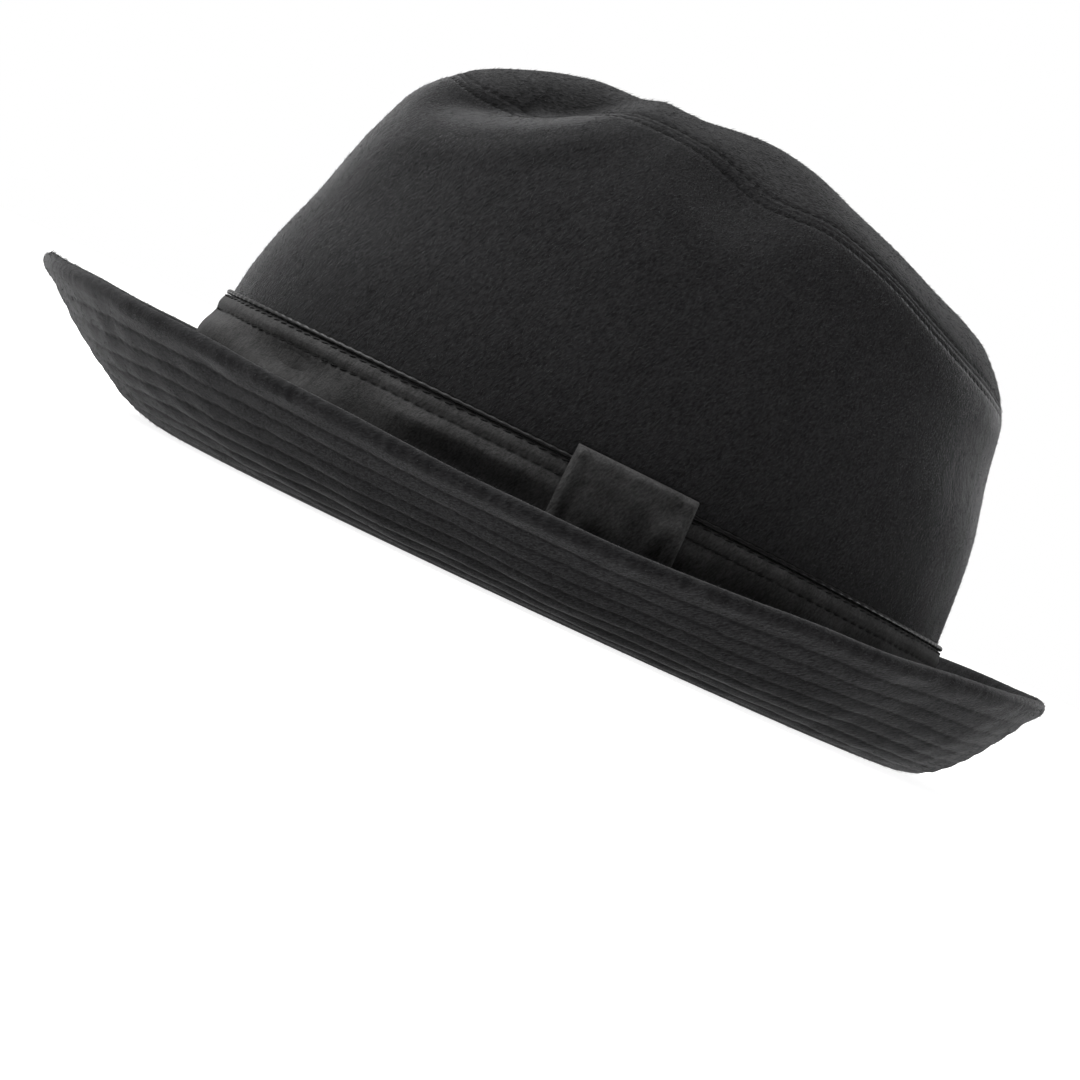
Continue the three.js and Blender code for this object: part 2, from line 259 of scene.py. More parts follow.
# %% The wall and the tip
def side_point(angle, rise):
    """The wall leans from the foot to the seam. Its lean at each rise is read from the table: that of the
    front or the back at the ends of the hat, that of the flank beside it, blended with a squared sine."""
    foot, seam = foot_point(angle), seam_point(angle)
    folded = fold(angle)
    flank = read_table(WALL, "rise", "flank", rise)
    front = read_table(WALL, "rise", "front", rise)
    back = read_table(WALL, "rise", "back", rise)
    end = np.where(folded < 90, front, back)
    lean = end + (flank - end) * np.sin(np.radians(folded)) ** 2
    flat = foot[..., :2] + (seam[..., :2] - foot[..., :2]) * lean[..., None]
    point = np.concatenate([flat, (seam[..., 2] * rise)[..., None]], -1)
    return press_dents(point, angle, (rise - 1) * seam[..., 2])


def tip_point(angle, reach):
    """The tip runs from the seam to the middle line. It climbs to the ridge in a quarter of a sine wave, and
    the crease lowers it by a bell curve across the middle."""
    seam, spine = seam_point(angle), spine_point(angle)
    point = seam + (spine - seam) * reach[..., None]
    ridge = read_table(RIDGE, "along", "height", point[..., 1])
    behind = smooth(fold(angle), TIP_SHOULDER["front_angle"], TIP_SHOULDER["lobe_angle"])
    shoulder = TIP_SHOULDER["front"] + (TIP_SHOULDER["lobe"] - TIP_SHOULDER["front"]) * behind
    climb = np.sin(np.pi / 2 * np.minimum(1, reach / shoulder))
    hump = 1 + (climb - 1) * np.minimum(1, np.abs(seam[..., 0]) / TIP_END_HALF_WIDTH)
    crease = CREASE["depth"] * bell(point[..., 0], 0, CREASE["half_width"])
    crease = crease * smooth(point[..., 1], CREASE["start"], CREASE["full"])
    crease = crease * (1 - smooth(point[..., 1], CREASE["fades"], CREASE["ends"]))
    point[..., 2] += (ridge - seam[..., 2]) * hump - crease
    return press_dents(point, angle, reach * np.linalg.norm(seam - spine, axis=-1))


def seam_step(angle):
    """How far the side's formula lies from the tip's at the seam."""
    return side_point(angle, 0 * angle + 1) - tip_point(angle, 0 * angle)


step = np.linalg.norm(seam_step(angles), axis=-1)
print("before it is sewn, the seam has a step of up to", round(float(step.max()), 1), "mm")

# %% [markdown]
# The two formulas were made apart, so at the front and at the back they don't quite meet. On the real hat the
# seam pulls both edges together. Merging the nearest points would leave a kink, so the step is taken out of
# the tip little by little.

# %% Sew the tip to the side
SEWN_WITHIN = 14


def sewn_tip_point(angle, reach):
    """The tip is brought to the side at the seam, and the step fades out within some millimetres."""
    way = reach * np.linalg.norm(seam_point(angle) - spine_point(angle), axis=-1)
    return tip_point(angle, reach) + seam_step(angle) * (1 - smooth(way, 0, SEWN_WITHIN))[..., None]


def seam_edge(angle):
    """The seam after the dents have been pressed in."""
    return side_point(angle, np.ones_like(angle))


left_over = np.linalg.norm(seam_edge(angles) - sewn_tip_point(angles, 0 * angles), axis=-1)
print("after it is sewn, the step is", round(float(left_over.max()), 3), "mm")

# %% [markdown]
# ## From a grid to a closed mesh
# Every piece below is a grid: one direction runs round the hat, the other across the piece, over its
# outside and back along its inside, so that it closes like a tube. A plain cylinder could be bent into
# each shape by hand, but on a worked out grid the normals and the ways along the cloth can be measured too.

# %% Measure a grid
def normals_of(points):
    """The cross product of the step round the hat and the step across the piece, made one long."""
    around = np.roll(points, -1, axis=1) - np.roll(points, 1, axis=1)
    across = np.gradient(points, axis=0)
    normal = np.cross(around, across)
    length = np.linalg.norm(normal, axis=-1, keepdims=True)
    return normal / np.maximum(length, 1e-9)


def run_down(points):
    """How far each row lies from the first row, measured along the cloth."""
    steps = np.linalg.norm(np.diff(points, axis=0), axis=-1)
    return np.concatenate([np.zeros((1, points.shape[1])), np.cumsum(steps, axis=0)])


def run_round(line):
    """How far each point of a closed line lies from the first, with the whole way round as the last value."""
    steps = np.linalg.norm(np.roll(line, -1, axis=0) - line, axis=-1)
    return np.concatenate([[0], np.cumsum(steps)])


seam_run = run_round(seam_edge(angles))
print("the seam is", round(float(seam_run[-1])), "mm long")

# %% [markdown]
# No cloth is quite even. A few plane waves in random directions add up to low swells that never repeat in
# view. Their random numbers start from a fixed seed, so the hat is the same each time.

# %% Low waves in cloth
def soft_waves(points, size, height, seed, count=14):
    """The sum of plane waves in random directions and phases, over the root of their number."""
    chance = np.random.default_rng(seed)
    direction = chance.normal(size=(3, count))
    direction /= np.linalg.norm(direction, axis=0)
    turns = 2 * np.pi / (size * chance.uniform(0.7, 1.5, count))
    phase = chance.uniform(0, 2 * np.pi, count)
    waves = np.sin(points @ (direction * turns) + phase)
    return height * waves.sum(axis=-1) / math.sqrt(count)


SIDE_WAVES = {"size": 38, "height": 0.2, "seed": 3}
along_seam = soft_waves(seam_edge(angles), **SIDE_WAVES)
print("along the seam such waves reach", round(float(np.abs(along_seam).max()), 2), "mm")

# %% [markdown]
# A mesh is a list of points and a list of faces that name their corners. For a grid both come straight
# from the row and column numbers. They could be added one by one, but foreach_set writes whole arrays at
# once, which is quick even for a hundred thousand faces. The UV map is in metres on the cloth itself, and
# the materials use it to lay the rows of stitching along the piece. It is cut open where the last column
# meets the first, so it has one column more than the mesh.

# %% Write a grid into a mesh
def grid_corners(rows, columns, closed_rows=True, closed_columns=True):
    """The four corners of each cell, in a grid whose points are numbered row by row."""
    row = np.arange(rows if closed_rows else rows - 1)[:, None]
    column = np.arange(columns if closed_columns else columns - 1)[None, :]
    here, there = row * columns, (row + 1) % rows * columns
    beside = (column + 1) % columns
    corners = np.stack([here + column, here + beside, there + beside, there + column], -1)
    return corners.reshape(-1, 4)


def faces_mesh(name, points, corners):
    """A mesh from points in millimetres and faces that all have the same number of corners."""
    mesh = bpy.data.meshes.new(name)
    place = points.reshape(-1, 3) * MM + CROWN_MIDDLE
    mesh.vertices.add(len(place))
    mesh.vertices.foreach_set("co", place.astype(np.float32).ravel())
    mesh.loops.add(corners.size)
    mesh.loops.foreach_set("vertex_index", corners.astype(np.int32).ravel())
    mesh.polygons.add(len(corners))
    starts = np.arange(0, corners.size, corners.shape[1], dtype=np.int32)
    mesh.polygons.foreach_set("loop_start", starts)
    mesh.update(calc_edges=True)
    return mesh


def grid_mesh(name, points, cloth_run, cloth_rise, closed_rows=True):
    """points[row, column] in millimetres, closed round the columns. cloth_run is the way round the hat, with
    one more value than there are columns, and cloth_rise the way across the cloth at each point."""
    rows, columns = points.shape[:2]
    mesh = faces_mesh(name, points, grid_corners(rows, columns, closed_rows))
    rise = np.concatenate([cloth_rise, cloth_rise[:, :1]], axis=1)
    cloth = np.stack([np.broadcast_to(cloth_run, rise.shape), rise], -1).reshape(-1, 2)
    spots = cloth[grid_corners(rows, columns + 1, closed_rows, closed_columns=False)]
    mesh.uv_layers.new(name="cloth")
    mesh.uv_layers["cloth"].data.foreach_set("uv", (spots * MM).astype(np.float32).ravel())
    return mesh


print("a closed tube of 3 rows and 8 columns has", len(grid_corners(3, 8)), "faces")

# %% [markdown]
# Each finished piece gets its name and is tied to an empty named body:root, and the imported part that it
# stands in for is hidden. Faces have to point outwards. Blender could work that out for the whole mesh, but
# one number
# says it as well: the volume inside a closed skin is above nought when its faces point outwards.

# %% Finish a piece
SHARP_ANGLE = 50


def signed_volume(mesh):
    """Six times this is the sum over the triangles of their corners' triple product."""
    mesh.calc_loop_triangles()
    corner = np.empty(len(mesh.loop_triangles) * 3, np.int32)
    mesh.loop_triangles.foreach_get("vertices", corner)
    place = np.empty(len(mesh.vertices) * 3, np.float32)
    mesh.vertices.foreach_get("co", place)
    a, b, c = place.reshape(-1, 3).astype(float)[corner.reshape(-1, 3).T]
    return float(np.einsum("ij,ij->i", a, np.cross(b, c)).sum() / 6)


def finish_piece(mesh, name, replaces=None):
    """Turns the faces outwards, makes the object, and ties it to the frame. Edges that turn by more than
    the sharp angle, as where cloth was cut, stay sharp."""
    if signed_volume(mesh) < 0:
        mesh.flip_normals()
    mesh.shade_smooth()
    if replaces:
        mesh.set_sharp_from_angle(angle=math.radians(SHARP_ANGLE))
    piece = bpy.data.objects.new(name, mesh)
    bpy.context.scene.collection.objects.link(piece)
    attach(piece, "root")
    if replaces:
        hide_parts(replaces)
    print(name, "has", len(mesh.loop_triangles), "triangles")
    return piece


print("edges that turn by more than", SHARP_ANGLE, "degrees stay sharp")

# %% [markdown]
# ## The crown's seam
# The side and the tip are sewn together with their edges turned in, and the turned edges are stitched down
# on both sides of the seam. On the finished hat that shows as two furrows with a soft welt between them.
# The furrows could be painted as bump, but they show in the outline of the crown, so they are in the
# mesh. Rows of points lie close together near the seam, and far apart elsewhere.

# %% The welt along the seam
STITCH_FROM_SEAM = 2.0
SEAM_STITCH = 2.9
FURROW_DEPTH = 0.17
FURROW_HALF_WIDTH = 0.9
PUCKER = {"even": 0.7, "stitch": 0.2, "uneven": 0.12}
WELT = (0, 1.2, 0.06)
SEAM_LINE = (0, 0.45, -0.06)
SEAM_BULGE = (4.4, 1.8, 0.08)


def seam_relief(from_seam, run):
    """A furrow under the stitches. Its depth rises and falls with the stitches, by a cosine of their pitch
    and two slow sines. A welt, a bulge and a fine line on the seam are bells."""
    stitch = np.cos(2 * np.pi * run / SEAM_STITCH)
    uneven = np.sin(run / 3.1) + np.sin(run / 7.3 + 1)
    pucker = PUCKER["even"] - PUCKER["stitch"] * stitch + PUCKER["uneven"] * uneven
    furrow = FURROW_DEPTH * bell(from_seam, STITCH_FROM_SEAM, FURROW_HALF_WIDTH)
    return bells(from_seam, (WELT, SEAM_LINE, SEAM_BULGE)) - furrow * pucker


seam_profile = seam_relief(np.linspace(0, 8, 81), 0)
print("beside the seam the relief spans", round(float(np.ptp(seam_profile)), 2), "mm")

# %% [markdown]
# Thick wool can't turn a sharp corner. A Bevel modifier would round it, but it works on one piece alone, and
# here two pieces have to meet in one line. So the corner between the side and the tip is replaced by a
# parabola that starts and ends a few millimetres from the seam.

# %% Rows beside the seam, and the rounded corner
WALL_LENGTH = 120
WALL_FOOT = 3.3
NEAR_SEAM = np.concatenate([np.arange(0, 0.8, 0.2), np.arange(0.8, 5.2, 0.27)])
SEAM_ROUND = table("angle way", (0, 13), (60, 13), (85, 11), (120, 10), (180, 11))


def wall_rise(angle, down):
    """The rise of a row that lies a way down from the seam, out of the whole wall's nominal length."""
    height = seam_point(angle)[..., 2]
    return 1 - down / WALL_LENGTH * (1 - WALL_FOOT / height)


def tip_reach(angle, inward):
    """The reach of a row that lies a way in from the seam."""
    return inward / np.linalg.norm(seam_point(angle) - spine_point(angle), axis=-1)


def rounded(base, from_seam, angle):
    """The corner at the seam as a parabola that starts a way w from it on either side. With a and b as the
    unit directions in which the side and the tip leave the seam, a point at the distance d of the seam is
    moved by (a + b) * w / 4 * (1 - d / w) squared. Both pieces then meet in one smooth line."""
    way = read_table(SEAM_ROUND, "angle", "way", fold(angle), level=True)
    down = side_point(angle, wall_rise(angle, 1 + 0 * angle)) - seam_edge(angle)
    inward = sewn_tip_point(angle, tip_reach(angle, 1 + 0 * angle)) - seam_edge(angle)
    leave = sum(step / np.linalg.norm(step, axis=-1, keepdims=True) for step in (down, inward))
    share = np.clip(1 - from_seam / way, 0, 1)
    return base + leave * (way * share**2 / 4)[..., None]


cut_off = np.linalg.norm(rounded(seam_edge(angles), 0, angles) - seam_edge(angles), axis=-1)
print("the rounding takes up to", round(float(cut_off.max()), 1), "mm off the corner")

# %% [markdown]
# ## The crown's side and tip
# Both pieces are walls of cloth two millimetres thick. The outside is worked out first, then its normals.
# The relief of the seam and some low waves are laid along those normals, and the inside follows at the
# thickness of the cloth. A Solidify modifier would give the thickness too, but the relief is only on the
# outside, so the inside is laid behind the smooth wall instead.

# %% The crown's side
CLOTH = 2
SIDE_ROWS = 70
LINING_ROWS = 24
EVEN_BESIDE_SEAM = (2, 14)


def make_crown_side():
    """The outside is the rounded wall, lifted by its relief along the normals. The inside lies a cloth's
    thickness behind the wall."""
    down = np.concatenate([NEAR_SEAM, np.linspace(NEAR_SEAM[-1], WALL_LENGTH, SIDE_ROWS)[1:]])
    grid_down, grid_angle = np.meshgrid(down, angles, indexing="ij")
    base = side_point(grid_angle, wall_rise(grid_angle, grid_down))
    from_seam = run_down(base)
    base = rounded(base, from_seam, angles)
    outward = -normals_of(base)
    waves = soft_waves(base, **SIDE_WAVES) * smooth(from_seam, *EVEN_BESIDE_SEAM)
    lift = seam_relief(from_seam, seam_run[:-1]) + waves
    outside = base + outward * lift[..., None]
    inner_rows = np.linspace(0, len(down) - 1, LINING_ROWS).round().astype(int)
    inside = base[inner_rows] - outward[inner_rows] * CLOTH
    points = np.concatenate([outside, inside[::-1]])
    rise = np.concatenate([-from_seam, -from_seam[inner_rows][::-1]])
    mesh = grid_mesh("wool_side", points, run_round(foot_point(angles)), rise)
    return finish_piece(mesh, "wool_side", "crown_side"), outside, outward


crown_side, side_skin, side_outward = make_crown_side()

# %% [markdown]
# The tip is the oval panel on top. A flat disc pushed up by a texture could give its dome, but not rows of
# points that follow the seam. So its grid runs from the seam to the middle line. The left and right halves
# meet there, and their double points are merged into one closed skin.

# %% The crown's tip
TIP_ROWS = 42
TIP_LINING_ROWS = 18
TIP_WAVES = {"size": 30, "height": 0.2, "seed": 4}
EVEN_BESIDE_MIDDLE = (0, 3)


def make_crown_tip():
    """As the side, from the seam inwards. The normals of the last row, on the middle line, have no part
    across, because the left and right halves share that line."""
    near = tip_reach(angles, NEAR_SEAM[:, None])
    share = np.linspace(0, 1, TIP_ROWS)[1:, None]
    reach = np.concatenate([near, near[-1] + (1 - near[-1]) * share])
    base = sewn_tip_point(np.broadcast_to(angles, reach.shape), reach)
    from_seam = run_down(base)
    base = rounded(base, from_seam, angles)
    outward = normals_of(base)
    outward[-1] = outward[-2] * [0, 1, 1]
    outward[-1] /= np.linalg.norm(outward[-1], axis=-1, keepdims=True)
    waves = soft_waves(base, **TIP_WAVES) * smooth(from_seam, *EVEN_BESIDE_SEAM)
    waves = waves * smooth(np.abs(base[..., 0]), *EVEN_BESIDE_MIDDLE)
    lift = seam_relief(from_seam, seam_run[:-1]) + waves
    outside = base + outward * lift[..., None]
    inner_rows = np.linspace(0, len(reach) - 1, TIP_LINING_ROWS).round().astype(int)
    inside = base[inner_rows] - outward[inner_rows] * CLOTH
    for skin in (outside, inside):
        skin[-1, :, 0] = 0
    points = np.concatenate([inside[::-1], outside])
    rise = np.concatenate([from_seam[inner_rows][::-1], from_seam])
    mesh = grid_mesh("wool_tip", points, seam_run, rise, closed_rows=False)
    merged = bmesh.new()
    merged.from_mesh(mesh)
    bmesh.ops.remove_doubles(merged, verts=merged.verts, dist=0.01 * MM)
    merged.to_mesh(mesh)
    merged.free()
    return finish_piece(mesh, "wool_tip", "crown_tip"), outside, outward


crown_tip, tip_skin, tip_outward = make_crown_tip()

# %% [markdown]
# ## The quilted brim
# The brim is two layers of wool with a stiff cloth between them, held together by rows of stitching that
# run round the hat a few millimetres apart. Between the rows the wool stands up in soft ribs. From the crown
# it leaves nearly flat and bends up to its rim, along a parabola through three points: the foot, a point
# flat outside it, and the rim. The ribs are laid on both faces along the parabola's own normal.

# %% Tables and a point of the brim
RIM = table(
    "angle side along height flat lift",
    (0, 0, -155.2, 30, 20, 1.4),
    (30, 60, -135, 28.8, 20, 1.4),
    (60, 104, -81, 26, 18, 0.6),
    (90, 121, -8, 24.3, 17, 0),
    (120, 105, 63, 28, 17, 0),
    (150, 61, 118, 32.6, 18, 0),
    (180, 0, 138.5, 34.2, 18, 0),
)
BRIM_THICKNESS = 3
BRIM_FOOT_INSIDE = 6
STITCH_ROWS = 8
RIM_SHARE = 0.15
ROW_SHARE = 0.106
RIB_HEIGHT = 0.21


def brim_point(angle, share):
    """A point of the brim's underside, share 0 at the rim and 1 at the crown, its normal and its outward
    direction. The share is turned into the parabola's own parameter so that rows are evenly spaced."""
    folded = fold(angle)
    foot = foot_point(angle)
    side = side_of(angle) * read_table(RIM, "angle", "side", folded)
    along = read_table(RIM, "angle", "along", folded, level=True)
    out = np.stack([side, along], -1) - foot[..., :2]
    reach = np.linalg.norm(out, axis=-1)
    out = out / reach[..., None]
    height = read_table(RIM, "angle", "height", folded, level=True) - BRIM_THICKNESS / 2
    flat = read_table(RIM, "angle", "flat", folded, level=True)
    lift = read_table(RIM, "angle", "lift", folded, level=True)
    slow, fast = 2 * flat, 2 * np.hypot(reach - flat, height - lift)
    t = (np.sqrt(slow**2 + (fast**2 - slow**2) * (1 - share)) - slow) / (fast - slow)
    run = 2 * t * (1 - t) * flat + t * t * reach
    rise = 2 * t * (1 - t) * lift + t * t * height
    run_speed = 2 * (1 - 2 * t) * flat + 2 * t * reach
    rise_speed = 2 * (1 - 2 * t) * lift + 2 * t * height
    speed = np.hypot(run_speed, rise_speed)
    flat_part = foot[..., :2] + out * run[..., None]
    point = np.concatenate([flat_part, rise[..., None]], -1)
    tilt = np.stack([out[..., 0] * -rise_speed, out[..., 1] * -rise_speed, run_speed], -1)
    outward = np.concatenate([out, 0 * rise[..., None]], -1)
    return point, tilt / speed[..., None], outward


print("the rim's highest point is at", round(float(RIM["height"].max()), 1), "mm")

# %% [markdown]
# Each row of stitching pulls the layers of the brim together, and the wool stands up between the rows. Bump
# would do from afar, but the ribs show on the rim and where the light grazes them, so they are in the mesh.

# %% The ribs of the quilting
RIM_PUFF = 0.8
RIM_PUFF_FADES = (0.3, 1)
OUTSIDE_ROWS_FALL = 6


def quilt_relief(share):
    """Ribs between the rows of stitching: the size of a sine wave with its zeros on the rows, less one, so
    that the stitches lie below the brim's face. Outside the first row the rim is padded."""
    row = (share - RIM_SHARE) / ROW_SHARE
    beyond = np.abs(row - np.clip(row, 0, STITCH_ROWS - 1))
    rib = np.where(beyond > 0, -np.exp(-beyond * OUTSIDE_ROWS_FALL), np.abs(np.sin(np.pi * row)) - 1)
    puff = RIM_PUFF * (1 - smooth(share / RIM_SHARE, *RIM_PUFF_FADES))
    return RIB_HEIGHT * rib + puff


quilting = quilt_relief(np.linspace(0, 1, 200))
print("the quilting's relief goes from", round(float(quilting.min()), 2), "to", RIM_PUFF, "mm")

# %% The brim
RIB_ROWS = 9
RIM_ROWS = 8
RIM_STARTS = 0.055
FOOT_ROWS = 9
BRIM_STEPS = 480
RIM_TURNS = 9
FACE_INSET = 0.15
RIBS_FADE = (0, 0.06)
LUMPS_FADE = (0, 0.2)
WAVES_FADE = (0.1, 0.5)
BRIM_LUMPS = {"size": 9, "height": 0.14, "seed": 8}
BRIM_WAVES = {"size": 40, "height": 0.4, "seed": 5}
brim_angles = np.arange(BRIM_STEPS) * 360 / BRIM_STEPS


def brim_skin_rows():
    """The underside and the upper face: the parabola moved along its normal by the relief. The rim between
    them is a half circle round the parabola's end."""
    last_row = RIM_SHARE + ROW_SHARE * (STITCH_ROWS - 1)
    ribs = RIM_SHARE + ROW_SHARE * np.arange(RIB_ROWS * (STITCH_ROWS - 1) + 1) / RIB_ROWS
    rim = np.linspace(RIM_STARTS, RIM_SHARE, RIM_ROWS)[:-1]
    share = np.concatenate([rim, ribs, np.linspace(last_row, 1, FOOT_ROWS)[1:]])
    grid_share, grid_angle = np.meshgrid(share, brim_angles, indexing="ij")
    point, normal, _ = brim_point(grid_angle, grid_share)
    to_foot = 1 - grid_share
    relief = quilt_relief(grid_share) * smooth(to_foot, *RIBS_FADE)
    relief = relief + soft_waves(point, **BRIM_LUMPS) * smooth(to_foot, *LUMPS_FADE)
    waves = soft_waves(point, **BRIM_WAVES) * smooth(to_foot, *WAVES_FADE)
    under = point - normal * (relief - FACE_INSET)[..., None] + normal * waves[..., None]
    over = point + normal * (BRIM_THICKNESS - FACE_INSET + relief + waves)[..., None]
    edge, edge_normal, out = brim_point(brim_angles, np.zeros(BRIM_STEPS))
    edge_out = out * edge_normal[:, 2:]
    edge_out[:, 2] = np.hypot(edge_normal[:, 0], edge_normal[:, 1])
    turn = np.linspace(0, np.pi, RIM_TURNS)[:, None, None]
    half = BRIM_THICKNESS / 2
    thick = (half - FACE_INSET + relief[0])[:, None]
    rim_ring = edge + edge_normal * (half - thick * np.cos(turn)) + waves[:1, :, None] * edge_normal
    rim_ring = rim_ring + edge_out * (thick * np.sin(turn) - thick)
    return grid_share, under, rim_ring, over


def make_brim():
    """The two faces and the rim, closed by two rings at the crown. No point goes below the floor. The UV
    map's second value is the number of the row of stitching."""
    grid_share, under, rim_ring, over = brim_skin_rows()
    foot, _, foot_out = brim_point(brim_angles, np.ones(BRIM_STEPS))
    inner_foot = (foot - foot_out * BRIM_FOOT_INSIDE) * [1, 1, 0]
    inner_top = inner_foot + [0, 0, BRIM_THICKNESS]
    points = np.concatenate([inner_foot[None], under[::-1], rim_ring, over, inner_top[None]])
    points[..., 2] = np.maximum(points[..., 2], 0)
    row_of = (grid_share - RIM_SHARE) / ROW_SHARE
    edge_row = np.full((RIM_TURNS, BRIM_STEPS), row_of[0, 0])
    last_row = row_of[-1:] + 1
    rise = np.concatenate([last_row, row_of[::-1], edge_row, row_of, last_row])
    middle, _, _ = brim_point(brim_angles, np.full(BRIM_STEPS, 0.5))
    mesh = grid_mesh("wool_brim", points, run_round(middle), rise)
    skin = np.concatenate([under[::-1], rim_ring, over])
    return finish_piece(mesh, "wool_brim", "brim"), skin, normals_of(skin)


brim, brim_skin, brim_outward = make_brim()

# %% [markdown]
# ## The leather band
# A strip of soft leather lies round the foot of the crown. Near its top it is held by two lines of
# stitching, one right under the piping and one four millimetres lower, and the leather swells between
# them. Towards the front it stands off the crown in a soft belly, and a few dents and a bulge show how it
# was handled. All of that could be sculpted. Here the strip is a grid that follows the crown's wall at a
# small distance, and the relief is added to that distance.

# %% A point off the wall
BAND_TOP = table("angle height", (0, 39.8), (90, 37.8), (180, 33.4))
GAP = 0.3
TRIM_FOOT = BRIM_THICKNESS + 2 * GAP
TRIM_STEPS = 480
trim_angles = np.arange(TRIM_STEPS) * 360 / TRIM_STEPS


def band_top(angle):
    """The height of the band's top edge."""
    return read_table(BAND_TOP, "angle", "height", fold(angle), level=True)


def off_wall(angle, height, distance):
    """A point of the crown's wall at a height, moved out level by a distance along the oval's own normal."""
    turn = np.radians(angle)
    out = np.stack([np.sin(turn) / FOOT_HALF_WIDTH, -np.cos(turn) / FOOT_HALF_LENGTH, 0 * turn], -1)
    out = out / np.linalg.norm(out, axis=-1, keepdims=True)
    wall = side_point(angle, height / seam_point(angle)[..., 2])
    return wall + out * np.asarray(distance)[..., None]


def top_line(round_angles):
    """The line on the wall where the band's top edge lies."""
    return off_wall(round_angles, band_top(round_angles), 0 * round_angles)


print("the band is", round(float(run_round(top_line(trim_angles))[-1])), "mm long")

# %% The band
BAND_THICKNESS = 1.2
BAND_STITCHES_DOWN = (0.45, 4.5)
BAND_STITCH = 3.3
BAND_GROOVE = {"half_width": 0.45, "depth": 0.22}
BAND_PUCKER = 0.25
BAND_SWELLS = ((2.5, 1.2, 0.3), (8, 3, 0.25))
BAND_BELLY = {"full": 30, "ends": 74, "depth": 1.8, "down": (4.5, 12), "off_foot": 6}
BAND_EVEN_TOP = (4, 9)
BAND_TOP_EDGE = (0, 0.35, -0.5)
BAND_FOOT_EDGE = (TRIM_FOOT, 0.6, -0.4)
BAND_DENTS = table(
    "angle turn down high depth",
    (36, 8, 9, 4, 2.6),
    (70, 8, 14, 4.5, 1),
    (68, 12, 7.5, 2.6, -1.1),
)
BAND_WAVES = {"size": 26, "height": 0.5, "seed": 6}
BAND_RIPPLES = {"size": 12, "height": 0.12, "seed": 16}


def band_relief(angle, height, from_top, run):
    """Furrows under the stitches, swells between them, a belly at the front, rounded edges, low waves, and
    dents that are bells in the angle and in the way down. A dent below nought is a bulge."""
    pucker = 1 - BAND_PUCKER + BAND_PUCKER * np.cos(2 * np.pi * run / BAND_STITCH)
    rows = [(down, BAND_GROOVE["half_width"], -BAND_GROOVE["depth"]) for down in BAND_STITCHES_DOWN]
    ahead = 1 - smooth(fold(angle), BAND_BELLY["full"], BAND_BELLY["ends"])
    belly = BAND_BELLY["depth"] * ahead * smooth(from_top, *BAND_BELLY["down"])
    belly = belly * smooth(height, TRIM_FOOT, TRIM_FOOT + BAND_BELLY["off_foot"])
    edges = bells(from_top, [BAND_TOP_EDGE]) + bells(height, [BAND_FOOT_EDGE])
    wall = off_wall(angle, height, 0 * height)
    waves = soft_waves(wall, **BAND_WAVES) * smooth(from_top, *BAND_EVEN_TOP)
    waves = waves + soft_waves(wall, **BAND_RIPPLES)
    relief = bells(from_top, rows) * pucker + bells(from_top, BAND_SWELLS) + belly + edges + waves
    for middle, turn, down, high, depth in zip(*BAND_DENTS.values()):
        relief = relief - depth * bell(fold(angle), middle, turn) * bell(from_top, down, high)
    return relief


def make_band():
    """The rows lie close together where the stitches are, and reach down to the brim."""
    fine_rows = np.concatenate([np.arange(0, 7, 0.3), np.linspace(7.6, 26, 16)]) / 30
    share = np.concatenate([fine_rows, np.linspace(0.9, 1, 4)])
    grid_share, grid_angle = np.meshgrid(share, trim_angles, indexing="ij")
    top = band_top(grid_angle)
    height = top + (TRIM_FOOT - top) * grid_share
    from_top = top - height
    run = run_round(top_line(trim_angles))
    relief = band_relief(grid_angle, height, from_top, run[:-1])
    outside = off_wall(grid_angle, height, GAP + BAND_THICKNESS + relief)
    inner = slice(None, None, -6)
    inside = off_wall(grid_angle, height, GAP + 0 * height)[inner]
    points = np.concatenate([outside, inside])
    mesh = grid_mesh("leather_band", points, run, np.concatenate([-from_top, -from_top[inner]]))
    return finish_piece(mesh, "leather_band", "hat_band")


leather_band = make_band()

# %% [markdown]
# ## The piping
# A narrow strip of smooth leather is folded over a cord and sewn in along the band's top edge. It is a bead
# a little over a millimetre thick, and it is drawn in at each stitch. A curve with a round bevel would give
# the bead but not the stitches' pull, so a round section is carried along the top of the band.

# %% The piping
PIPING_HEIGHT = 1.4
PIPING_DEPTH = 1.4
PIPING_PUCKER = 0.25
PIPING_LIFT = 0.1
PIPING_SIDES = 12
PIPING_STEPS = 1100


def make_piping():
    """A round section, thicker between the stitches than at them."""
    round_angles = np.arange(PIPING_STEPS) * 360 / PIPING_STEPS
    run = run_round(top_line(round_angles))
    bead = 1 - PIPING_PUCKER * (0.5 + 0.5 * np.cos(2 * np.pi * run[:-1] / BAND_STITCH))
    turn = np.linspace(0, 2 * np.pi, PIPING_SIDES, endpoint=False)[:, None]
    height = band_top(round_angles) + PIPING_LIFT + PIPING_HEIGHT / 2 * (1 - np.cos(turn) * bead)
    distance = GAP + PIPING_DEPTH / 2 * (1 + np.sin(turn) * bead)
    points = off_wall(np.broadcast_to(round_angles, height.shape), height, distance)
    rise = np.broadcast_to(turn * PIPING_HEIGHT / 2, height.shape)
    mesh = grid_mesh("leather_piping", points, run, rise)
    return finish_piece(mesh, "leather_piping", "band_piping")


piping = make_piping()

# %% [markdown]
# ## The loop
# A patch of the same leather wraps the band on the wearer's left, turned in above the piping. Its edges are
# folded under, so they are round and a little thicker than its middle, and a soft fold runs down towards
# its lower back corner. A plane with a Bevel and a Solidify modifier would have edges that are too even. So
# the patch is a grid of closed sections side by side: each runs up the outside, over the top and down the
# inside.

